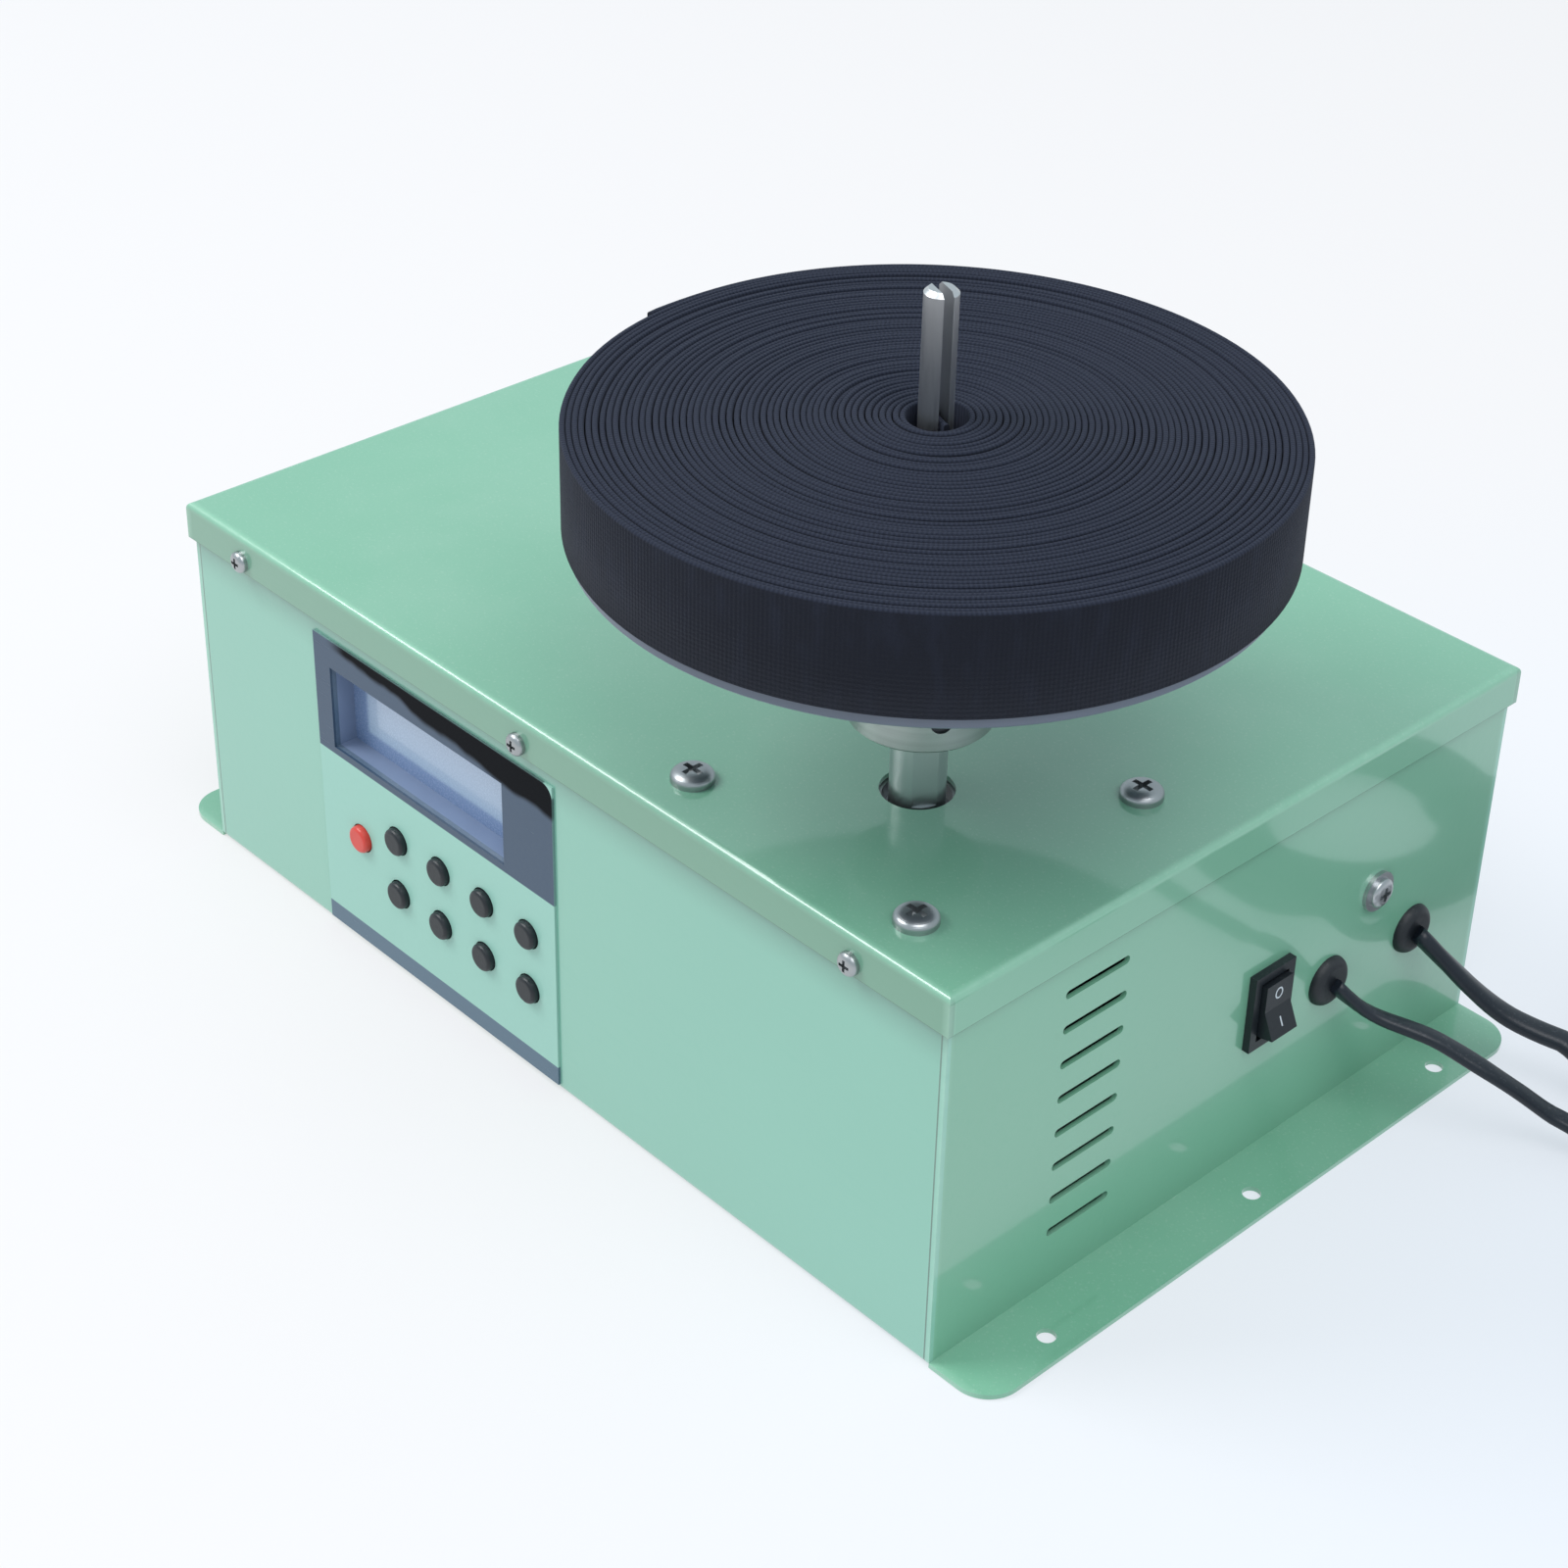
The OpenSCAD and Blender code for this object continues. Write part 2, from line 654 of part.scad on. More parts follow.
// Rubber grommet: a dome outside, a neck in the panel, and a tapered sleeve inside
module grommet(y, z) {
    color([0.06, 0.06, 0.07]) translate([wall_x, y, z]) rotate([0, 90, 0]) rotate_extrude() polygon(concat(
        [[0, -grommet_in], [3.6, -grommet_in], [4.4, -sheet_t - 2.2], [grommet_d / 2 - 0.4, -sheet_t - 1.6],
         [grommet_d / 2 - 0.4, -sheet_t], [grommet_hole_d / 2 - fit, -sheet_t], [grommet_hole_d / 2 - fit, 0],
         [grommet_d / 2, 0]],
        [for (a = [10:10:90]) [
            grommet_tip_d / 2 + (grommet_d - grommet_tip_d) / 2 * cos(a),
            grommet_out * sin(a)
        ]],
        [[0, grommet_out]]
    ));
}

module power_grommet() { grommet(power_y, power_z); }
module signal_grommet() { grommet(signal_y, signal_z); }

// ---- motor ----

module motor_outline(round_d) {
    intersection() {
        square([motor_size, motor_size], center = true);
        circle(d = round_d, $fn = 96);
    }
}

module motor_spacer() {
    color([0.6, 0.6, 0.6]) at_spindle(flange_top) difference() {
        linear_extrude(spacer_t) square([motor_size, motor_size], center = true);
        translate([0, 0, -1]) cylinder(h = spacer_t + 2, d = pilot_d + 2 * run_fit);
        for (i = [-1, 1], j = [-1, 1]) translate([i * motor_pitch / 2, j * motor_pitch / 2, -1])
            cylinder(h = spacer_t + 2, d = motor_screw_d + 2 * bolt_gap);
    }
}

module motor_flange() {
    color([0.72, 0.73, 0.74]) difference() {
        at_spindle(flange_low) {
            linear_extrude(motor_flange_t) motor_outline(motor_size * 1.3);
            cylinder(h = motor_flange_t + pilot_h, d = pilot_d);
        }
        at_motor_screws(flange_low - 1) cylinder(h = motor_flange_t + 2, d = motor_screw_d + 2 * bolt_gap);
        at_spindle(flange_low - 1) {
            cylinder(h = motor_flange_t + 4, d = shaft_d + 3);
            cylinder(h = bearing_w + bearing_floor, d = bearing_d + 2 * fit);
        }
    }
}

module motor_stator() {
    color([0.16, 0.16, 0.18]) at_spindle(cap_top) difference() {
        linear_extrude(flange_low - cap_top) motor_outline(stator_d);
        translate([0, 0, -1]) cylinder(h = flange_low - cap_top + 2, d = rotor_d + 2 * air_gap);
    }
}

module motor_rear_cap() {
    color([0.72, 0.73, 0.74]) at_spindle(motor_low) difference() {
        linear_extrude(cap_h) motor_outline(stator_d);
        translate([0, 0, cap_h - 5]) cylinder(h = 6, d = rotor_d + 2 * air_gap);
        translate([0, 0, bearing_floor]) cylinder(h = cap_h, d = bearing_d + 2 * fit);
        translate([0, 0, -1]) cylinder(h = cap_h + 2, d = shaft_d + 1);
    }
}

module motor_rotor() {
    color([0.5, 0.5, 0.52]) at_spindle(cap_top + 3) ring(rotor_d, shaft_d + 2 * fit, flange_low - cap_top - 6);
}

module motor_shaft() {
    color([0.78, 0.79, 0.8]) at_spindle() difference() {
        translate([0, 0, motor_low + 0.4]) cylinder(h = shaft_top - motor_low - 0.4, d = shaft_d);
        rotate([0, 0, -30]) translate([shaft_d / 2 - flat_depth, -shaft_d, case_h - 1])
            cube([shaft_d, 2 * shaft_d, shaft_top]);
    }
}

module front_bearing() {
    color([0.7, 0.7, 0.72]) at_spindle(flange_low) ring(bearing_d, shaft_d + 2 * run_fit, bearing_w);
}

module rear_bearing() {
    color([0.7, 0.7, 0.72]) at_spindle(motor_low + bearing_floor) ring(bearing_d, shaft_d + 2 * run_fit, bearing_w);
}

module motor_screws() {
    grip = sheet_t + spacer_t + motor_flange_t + motor_nut_h + 2;
    color("silver") at_motor_screws(case_h) pan_screw(motor_screw_d, grip, motor_head_d, motor_head_h);
}

module motor_nuts() {
    color("silver") at_motor_screws(flange_low - motor_nut_h) hex_nut(motor_screw_d, motor_nut_af, motor_nut_h);
}

// ---- winding head ----

module hub() {
    color([0.8, 0.82, 0.82]) at_spindle() difference() {
        translate([0, 0, hub_z]) rotate_extrude($fn = 96) polygon([
            [0, 0], [hub_d / 2 - 0.6, 0], [hub_d / 2, 0.6], [hub_d / 2, hub_h], [0, hub_h]
        ]);
        translate([0, 0, hub_z - 1]) cylinder(h = shaft_in_hub + 1, d = shaft_d + 2 * fit);
        translate([0, 0, platter_z - pin_root_l]) cylinder(h = pin_root_l + 1, d = pin_root_d + 2 * fit);
        for (a = [0:120:240]) rotate([0, 0, a])
            translate([platter_screw_r, 0, platter_z - platter_screw_l])
                cylinder(h = platter_screw_l + 1, d = platter_screw_d + 2 * fit);
        for (a = [-30, 60]) rotate([0, 0, a]) translate([0, 0, grub_z]) rotate([0, 90, 0])
            cylinder(h = hub_d, d = grub_d + 2 * fit);
    }
}

module hub_grub_screws() {
    color([0.2, 0.2, 0.22]) at_spindle() for (a = [-30, 60]) rotate([0, 0, a]) translate([shaft_d / 2 + 0.2, 0, grub_z])
        rotate([0, 90, 0]) difference() {
            cylinder(h = (hub_d - shaft_d) / 2 - 0.8, d = grub_d);
            translate([0, 0, (hub_d - shaft_d) / 2 - 3.6]) cylinder(h = 4, d = 2.9, $fn = 6);
        }
}

module platter() {
    color([0.36, 0.4, 0.46]) at_spindle() difference() {
        translate([0, 0, platter_z]) rotate_extrude($fn = 128) polygon([
            [0, 0], [platter_d / 2 - 0.5, 0], [platter_d / 2, 0.5], [platter_d / 2, platter_t - 0.5],
            [platter_d / 2 - 0.5, platter_t], [0, platter_t]
        ]);
        translate([0, 0, platter_z - 1]) cylinder(h = platter_t + 2, d = pin_root_d + 2 * fit);
        for (a = [0:120:240]) rotate([0, 0, a]) translate([platter_screw_r, 0, 0]) {
            translate([0, 0, platter_z - 1]) cylinder(h = platter_t + 2, d = platter_screw_d + 2 * bolt_gap);
            translate([0, 0, roll_z - 2.4]) cylinder(h = 3, d1 = platter_screw_d, d2 = platter_screw_d + 6);
        }
    }
}

module platter_screws() {
    color("silver") at_spindle() for (a = [0:120:240]) rotate([0, 0, a]) translate([platter_screw_r, 0, 0]) {
        difference() {
            union() {
                translate([0, 0, platter_z - platter_screw_l + 1])
                    cylinder(h = platter_screw_l + platter_t - 2.6, d = platter_screw_d);
                translate([0, 0, roll_z - 2.1]) cylinder(h = 1.9, d1 = platter_screw_d, d2 = platter_screw_d + 3.6);
            }
            translate([0, 0, roll_z - 1.2]) cylinder(h = 2, d = 2.5, $fn = 6);
        }
    }
}

module winding_pin() {
    color([0.74, 0.74, 0.74]) at_spindle() difference() {
        union() {
            translate([0, 0, platter_z - pin_root_l]) cylinder(h = pin_root_l + platter_t + eps, d = pin_root_d);
            translate([0, 0, roll_z]) cylinder(h = pin_h - pin_chamfer, d = pin_d);
            translate([0, 0, pin_top - pin_chamfer])
                cylinder(h = pin_chamfer, d1 = pin_d, d2 = pin_d - 2 * pin_chamfer);
        }
        rotate([0, 0, pin_turn]) translate([-pin_slot / 2, -pin_d, roll_z + pin_slot_up])
            cube([pin_slot, 2 * pin_d, pin_h]);
    }
}

module tape_roll() {
    color([0.13, 0.15, 0.22]) at_spindle(roll_z) {
        difference() {
            cylinder(h = tape_w, d = roll_d, $fn = 128);
            translate([0, 0, -1]) cylinder(h = tape_w + 2, d = roll_hole_d);
        }
        // inner end of the tape, through the slot of the pin
        rotate([0, 0, pin_turn]) translate([-tape_t / 2, -pin_d / 2 - 1.5, pin_slot_up + 0.5])
            cube([tape_t, (pin_d + roll_hole_d) / 2 + 2.5, tape_w - pin_slot_up - 0.5]);
    }
}

// ---- electrics inside ----

psu = [112, 78, 36];
psu_at = [-wall_x + 8, wall_y - 8 - psu[1], sheet_t];
driver = [76, 62, 30];
driver_at = [wall_x - 34 - driver[0], wall_y - 8 - driver[1], sheet_t];

module power_supply() {
    color([0.78, 0.79, 0.8]) translate(psu_at) difference() {
        cube(psu);
        translate([psu[0] - 12, 4, 8]) cube([13, psu[1] - 8, psu[2]]);
        for (i = [0:6]) translate([14 + i * 11, 14, psu[2] - 3]) cube([3.4, psu[1] - 28, 4]);
    }
}

module motor_driver() {
    color([0.13, 0.14, 0.15]) translate(driver_at) difference() {
        cube(driver);
        for (i = [0:6]) translate([-1, 8 + i * 7, driver[2] - 14]) cube([driver[0] - 10, 3.4, 15]);
    }
}

module terminal_blocks() {
    color([0.12, 0.3, 0.5]) {
        translate(psu_at + [psu[0] - 11, 8, 8]) difference() {
            cube([10, psu[1] - 16, 12]);
            for (i = [0:5]) translate([-1, 3 + i * 9.6, 5]) cube([12, 6, 8]);
        }
        translate(driver_at + [driver[0], 6, 4]) difference() {
            cube([9, driver[1] - 12, 10]);
            for (i = [0:7]) translate([3, 1.6 + i * 6, 2]) cube([7, 4, 6]);
        }
    }
}

// ---- cords ----

cord_black = [0.05, 0.05, 0.06];
power_r = turn_r(power_coil_r, power_w, power_turns);
signal_r = turn_r(signal_coil_r, signal_w, signal_turns);

module power_cord_run() {
    color(cord_black) cord_tube(
        concat(power_run, [coil_point(power_coil_at, power_r, power_in_angle, power_t / 2)]),
        power_w, power_t);
}

module power_cord_coil() {
    color(cord_black) cord_coil(power_coil_at, power_coil_r, power_w, power_t, power_turns);
}

module power_cord_tail() {
    color(cord_black) cord_tube(concat(
        [coil_point(power_coil_at, power_r, power_out_angle, 1.5 * power_t)],
        power_tail, [[plug_at[0], plug_at[1], plug_t / 2]]
    ), power_w, power_t);
}

module at_plug() { translate([plug_at[0], plug_at[1], plug_t / 2]) rotate([0, 0, plug_turn]) children(); }

// Flat two-pin plug, narrow where the cord enters and wide at the pins
module power_plug() {
    color([0.06, 0.06, 0.07]) at_plug() hull() {
        translate([1, 0, 0]) cube([2, 10, 8], center = true);
        translate([plug_l * 0.55, 0, 0]) cube([1, plug_w - 4, plug_t - 1], center = true);
        translate([plug_l - 5, 0, 0]) cube([8, plug_w, plug_t - 3], center = true);
        translate([plug_l - 4, 0, 0]) cube([8, plug_w - 3, plug_t], center = true);
    }
}

module plug_pins() {
    color("silver") at_plug() for (s = [-1, 1]) translate([plug_l, s * plug_pin_pitch / 2, 0]) rotate([0, 90, 0]) {
        cylinder(h = plug_pin_l - 1, d = plug_pin_d);
        translate([0, 0, plug_pin_l - 1]) cylinder(h = 1, d1 = plug_pin_d, d2 = plug_pin_d - 1.4);
    }
}

module signal_cord_run() {
    color(cord_black) cord_tube(
        concat(signal_run, [coil_point(signal_coil_at, signal_r, signal_in_angle, signal_t / 2)]),
        signal_w, signal_t);
}

module signal_cord_coil() {
    color(cord_black) cord_coil(signal_coil_at, signal_coil_r, signal_w, signal_t, signal_turns);
}

module signal_cord_tail() {
    color(cord_black) cord_tube(concat(
        [coil_point(signal_coil_at, signal_r, signal_out_angle, 1.5 * signal_t)],
        signal_tail, [[plug2_at[0], plug2_at[1], plug2_d / 2]]
    ), signal_w, signal_t);
}

// Round in-line connector with a tapered boot and a gripping ring
module signal_connector() {
    color([0.1, 0.1, 0.11]) translate([plug2_at[0], plug2_at[1], plug2_d / 2]) rotate([90, 0, 0])
        rotate_extrude() polygon([
            [0, 0], [3.6, 0], [5, 14], [5.6, 15], [5.6, 26], [plug2_d / 2, 27], [plug2_d / 2, 36],
            [5.4, 36.6], [5.4, plug2_l], [4.4, plug2_l], [4.4, plug2_l - 6], [0, plug2_l - 6]
        ]);
}

chassis();
left_end_panel();
right_end_panel();
lid();
lid_screws();
clinch_nuts();
front_overlay();
display_shroud();
lcd_glass();
lcd_backlight();
control_board();
board_standoffs();
board_screws();
tact_switches();
for (i = [0:3]) key(i);
for (i = [0:3]) key(i + 4);
stop_button();
rocker_housing();
rocker_paddle();
rocker_terminals();
earth_screw();
earth_washer();
earth_nut();
power_grommet();
signal_grommet();
motor_spacer();
motor_flange();
motor_stator();
motor_rear_cap();
motor_rotor();
motor_shaft();
front_bearing();
rear_bearing();
motor_screws();
motor_nuts();
hub();
hub_grub_screws();
platter();
platter_screws();
winding_pin();
tape_roll();
power_supply();
motor_driver();
terminal_blocks();
power_cord_run();
power_cord_coil();
power_cord_tail();
power_plug();
plug_pins();
signal_cord_run();
signal_cord_coil();
signal_cord_tail();
signal_connector();
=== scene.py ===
"""Tape winding machine: a sheet-steel case with a display and keys, and a motor that turns a platter of tape.

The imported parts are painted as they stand. The wound tape, the two cords with their ties and the marks on
the switch are surfaces worked out here. All lengths are in metres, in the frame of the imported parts.
"""

import bpy
import numpy as np
from mathutils import Matrix


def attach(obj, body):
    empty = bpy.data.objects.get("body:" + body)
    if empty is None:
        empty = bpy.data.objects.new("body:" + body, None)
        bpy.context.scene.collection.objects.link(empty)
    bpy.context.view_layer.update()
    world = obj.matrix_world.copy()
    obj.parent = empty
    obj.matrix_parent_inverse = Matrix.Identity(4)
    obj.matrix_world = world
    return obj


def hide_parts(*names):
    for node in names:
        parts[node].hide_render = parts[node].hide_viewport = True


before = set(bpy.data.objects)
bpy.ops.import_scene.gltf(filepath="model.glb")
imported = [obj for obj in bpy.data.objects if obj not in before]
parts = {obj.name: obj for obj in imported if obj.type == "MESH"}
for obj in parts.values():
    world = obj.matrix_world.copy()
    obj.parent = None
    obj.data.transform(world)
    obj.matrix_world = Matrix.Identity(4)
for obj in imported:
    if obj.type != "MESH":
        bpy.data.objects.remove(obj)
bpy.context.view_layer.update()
MM = 0.001
UP = np.array([0.0, 0.0, 1.0])


# ---- camera, floor and light ----

def place_camera():
    """Camera looking down at the front right corner: turned about Z, tipped down, then rolled about its view."""
    turn, down, roll = np.radians([44.48, 31.47, 2.42])
    ahead = np.array([-np.sin(turn) * np.cos(down), np.cos(turn) * np.cos(down), -np.sin(down)])
    level = np.array([np.cos(turn), np.sin(turn), 0.0])
    above = np.cross(level, ahead)
    right = np.cos(roll) * level + np.sin(roll) * above
    top = -np.sin(roll) * level + np.cos(roll) * above
    lens = bpy.data.cameras.new("camera")
    lens.lens, lens.sensor_width = 71.25, 36.0
    lens.shift_x, lens.shift_y = -0.0656, -0.0825
    lens.clip_start = 0.01
    camera = bpy.data.objects.new("camera", lens)
    turned = Matrix(np.column_stack([right, top, -ahead]).tolist()).to_4x4()
    camera.matrix_world = Matrix.Translation((0.4672, -0.4564, 0.4810)) @ turned
    bpy.context.scene.collection.objects.link(camera)
    bpy.context.scene.camera = camera


def soft_lamp(name, place, target, size, watts, tint):
    """Square lamp at a place, facing a target."""
    lamp = bpy.data.lights.new(name, "AREA")
    lamp.size, lamp.energy, lamp.color = size, watts, tint
    holder = bpy.data.objects.new(name, lamp)
    back = np.array(place) - np.array(target)
    back /= np.linalg.norm(back)
    side = np.cross(UP, back)
    side /= np.linalg.norm(side)
    turned = Matrix(np.column_stack([side, np.cross(back, side), back]).tolist()).to_4x4()
    holder.matrix_world = Matrix.Translation(place) @ turned
    bpy.context.scene.collection.objects.link(holder)


# ---- surfaces ----

def grid_faces(rows, columns, ring):
    """Four corners of each cell of a grid of points; with ring, the last column joins the first."""
    row, column = np.meshgrid(np.arange(rows - 1), np.arange(columns if ring else columns - 1), indexing="ij")
    beside = (column + 1) % columns
    corners = [row * columns + column, row * columns + beside,
               (row + 1) * columns + beside, (row + 1) * columns + column]
    return np.stack(corners, -1).reshape(-1, 4)


def enclosed_volume(points, faces):
    """Signed volume of a closed form of four-cornered faces: the sum of the cones from the origin."""
    a, b, c, d = (points[faces[:, k]] for k in range(4))
    return (np.cross(a, b) * c).sum() + (np.cross(a, c) * d).sum()


def sweep(name, rings, body, finish, runs=None, endless=False):
    """Closed skin over rings of points, grid (ring, point, xyz), with a flat face at each end.

    A ring is joined round, each ring to the next, and the winding is turned if the volume comes out negative.
    An endless skin has no end faces: its last ring is joined to its first.
    runs gives the map: the distance of each ring along the piece, and of each point round the ring."""
    rows, columns = rings.shape[:2]
    points = rings.reshape(-1, 3)
    faces = grid_faces(rows + endless, columns, True) % len(points)
    flip = enclosed_volume(points, faces) < 0
    first, last = np.arange(columns), np.arange(columns) + (rows - 1) * columns
    ends = [] if endless else [first[::-1].tolist(), last.tolist()]
    if flip:
        faces, ends = faces[:, ::-1], [e[::-1] for e in ends]
    mesh = bpy.data.meshes.new(name)
    mesh.from_pydata(points.tolist(), [], faces.tolist() + ends)
    if runs is not None:
        along, around = runs
        rim = np.append(around, around[-1] + (around[-1] - around[-2]))
        row, column = np.meshgrid(np.arange(rows - 1), np.arange(columns), indexing="ij")
        cells = [(row, column), (row, column + 1), (row + 1, column + 1), (row + 1, column)]
        spots = np.stack([np.stack([along[r], rim[c]], -1) for r, c in cells], -2).reshape(-1, 4, 2)
        if flip:
            spots = spots[:, ::-1]
        flat = np.concatenate([spots.reshape(-1, 2), np.zeros((2 * columns, 2))])
        mesh.uv_layers.new(name="run").data.foreach_set("uv", flat.astype(np.float32).ravel())
    smooth = np.arange(len(mesh.polygons)) < len(faces)
    mesh.polygons.foreach_set("use_smooth", smooth)
    piece = bpy.data.objects.new(name, mesh)
    bpy.context.scene.collection.objects.link(piece)
    mesh.materials.append(finish)
    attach(piece, body)
    return piece


def smooth_line(knots, spacing):
    """Points on one smooth curve through the knots, evenly spaced along it (a Catmull-Rom curve)."""
    knots = np.asarray(knots, float)
    before = np.vstack([2 * knots[0] - knots[1], knots[:-2]])
    after = np.vstack([knots[2:], 2 * knots[-1] - knots[-2]])
    a, b = knots[:-1], knots[1:]
    t = np.linspace(0, 1, 12, endpoint=False)[None, :, None]
    before, a, b, after = (k[:, None] for k in (before, a, b, after))
    line = 0.5 * (2 * a + (b - before) * t + (2 * before - 5 * a + 4 * b - after) * t ** 2
                  + (3 * a - before - 3 * b + after) * t ** 3)
    line = np.vstack([line.reshape(-1, 3), knots[-1]])
    travelled = np.append(0, np.cumsum(np.linalg.norm(np.diff(line, axis=0), axis=1)))
    even = np.linspace(0, travelled[-1], int(travelled[-1] / spacing) + 1)
    return np.stack([np.interp(even, travelled, line[:, k]) for k in range(3)], 1), even


# ---- cords ----

CORD_STEP = 2.2 * MM


def coiled(centre, radius, width, thick, turns, enter, leave, way):
    """Middle line of a flat cord wound in two layers: inwards by one width a turn, up, and outwards again.

    enter and leave are angles in degrees, and way is 1 for a counter-clockwise coil, -1 for a clockwise one."""
    outer, inner = radius + width * turns / 2, radius - width * turns / 2
    second = 360.0 * turns + (way * (leave - enter)) % 360.0
    climb = 90.0
    turned = np.arange(0, 360.0 * turns + second + 0.1, 7.5)
    turned[-1] = 360.0 * turns + second
    spread = np.interp(turned, [0, 360 * turns, 360 * turns + climb, 360 * turns + second],
                       [outer, inner, inner, outer])
    height = np.interp(turned, [0, 360 * turns, 360 * turns + climb], [0.5 * thick, 0.5 * thick, 1.5 * thick])
    angle = np.radians(enter + way * turned)
    return np.stack([centre[0] + spread * np.cos(angle), centre[1] + spread * np.sin(angle), height], 1)


def flat_cord(name, knots, width, thick, gland_turn, finish, **facts):
    """Flat cord with rounded sides along one smooth line.

    Across is level and square to the line. At the gland the section is turned about the line by gland_turn
    degrees, and it comes level over the first 45 mm. The section is a rounded box: |cos|^0.8 and |sin|^0.8."""
    line, run = smooth_line(np.array(knots) * MM, CORD_STEP)
    along = np.gradient(line, axis=0)
    along /= np.linalg.norm(along, axis=1)[:, None]
    across = np.cross(along, UP)
    across /= np.linalg.norm(across, axis=1)[:, None]
    over = np.cross(across, along)
    twist = np.radians(gland_turn) * np.clip(1 - run / 0.045, 0, 1) ** 2
    across, over = (across * np.cos(twist)[:, None] + over * np.sin(twist)[:, None],
                    over * np.cos(twist)[:, None] - across * np.sin(twist)[:, None])
    angle = np.linspace(0, 2 * np.pi, 20, endpoint=False)
    wide = np.sign(np.cos(angle)) * np.abs(np.cos(angle)) ** 0.8 * width * MM / 2
    high = np.sign(np.sin(angle)) * np.abs(np.sin(angle)) ** 0.8 * thick * MM / 2
    rings = line[:, None] + across[:, None] * wide[None, :, None] + over[:, None] * high[None, :, None]
    rings[..., 2] = np.maximum(rings[..., 2], 0.0001)
    piece = sweep(name, rings, "case", finish, (run, angle * width * MM / 2))
    return piece


def coil_tie(name, centre, radius, span, height, angle, finish):
    """Strap wrapped once round a coil: a thin band that follows a rounded box round the coil's section.

    The box has its middle at radius and height / 2, and its sides are |cos|^0.35 and |sin|^0.35."""
    t = np.linspace(0, 2 * np.pi, 40, endpoint=False)
    wide = np.sign(np.cos(t)) * np.abs(np.cos(t)) ** 0.35
    high = np.sign(np.sin(t)) * np.abs(np.sin(t)) ** 0.35
    out = np.array([np.cos(np.radians(angle)), np.sin(np.radians(angle)), 0.0])
    along = np.cross(UP, out)
    middle = np.array([centre[0], centre[1], 0.0]) + out * radius
    corners = [(-3.0, 0.0), (3.0, 0.0), (3.0, 0.5), (-3.0, 0.5)]
    rings = np.stack([
        middle + along * shift + out * (wide * (span / 2 + lift))[:, None]
        + UP * (height / 2 + 0.05 + high * (height / 2 + 0.05 * (lift > 0) + lift * (high > -0.9)))[:, None]
        for shift, lift in corners], 1)
    rings *= MM
    rings[..., 2] = np.maximum(rings[..., 2], 0.00005)
    return sweep(name, rings, "case", finish, endless=True)


# ---- wound tape ----

SPINDLE = (77.2, -48.0)
TAPE_LOW, TAPE_HIGH = 168.6, 193.4
TAPE_THICK = 1.2
TAPE_PITCH = 1.34
TAPE_INNER, TAPE_OUTER = 6.6, 77.0
TAIL_RADIUS = 5.2
SLOT_ANGLE, END_ANGLE = 160.0, 188.0


def tape_line(rng):
    """Middle line of the tape, from above: its inner end lies in the pin's slot, and it winds out turn by turn.

    The radius grows by the tape's thickness and an uneven gap at each turn, and the free end lifts a little.
    Returns the radius and angle at each ring, the angle in radians from the slot."""
    turns = int((TAPE_OUTER - TAPE_INNER) / TAPE_PITCH)
    gaps = 0.3 + rng.gamma(1.1, 1.0, turns + 1)
    gaps[gaps > 3] = 3
    gaps *= (TAPE_OUTER - TAPE_INNER - TAPE_THICK * turns) / gaps[:-1].sum()
    last = 2 * np.pi * turns + np.radians(END_ANGLE - SLOT_ANGLE)
    fine = np.linspace(0, last, 12000)
    grown = np.append(0, np.cumsum(TAPE_THICK + gaps))
    radius = TAPE_INNER + np.interp(fine / (2 * np.pi), np.arange(turns + 2), grown)
    steps = np.maximum(radius / 3.3, 1 / np.radians(8.0))
    count = np.append(0, np.cumsum(0.5 * (steps[1:] + steps[:-1]) * np.diff(fine)))
    angle = np.interp(np.arange(0, count[-1]), count, fine)
    radius = np.interp(angle, fine, radius) + 0.7 * np.clip((angle - last) / 0.22 + 1, 0, 1) ** 2
    return np.append(radius, radius[-1]), np.append(angle, last)


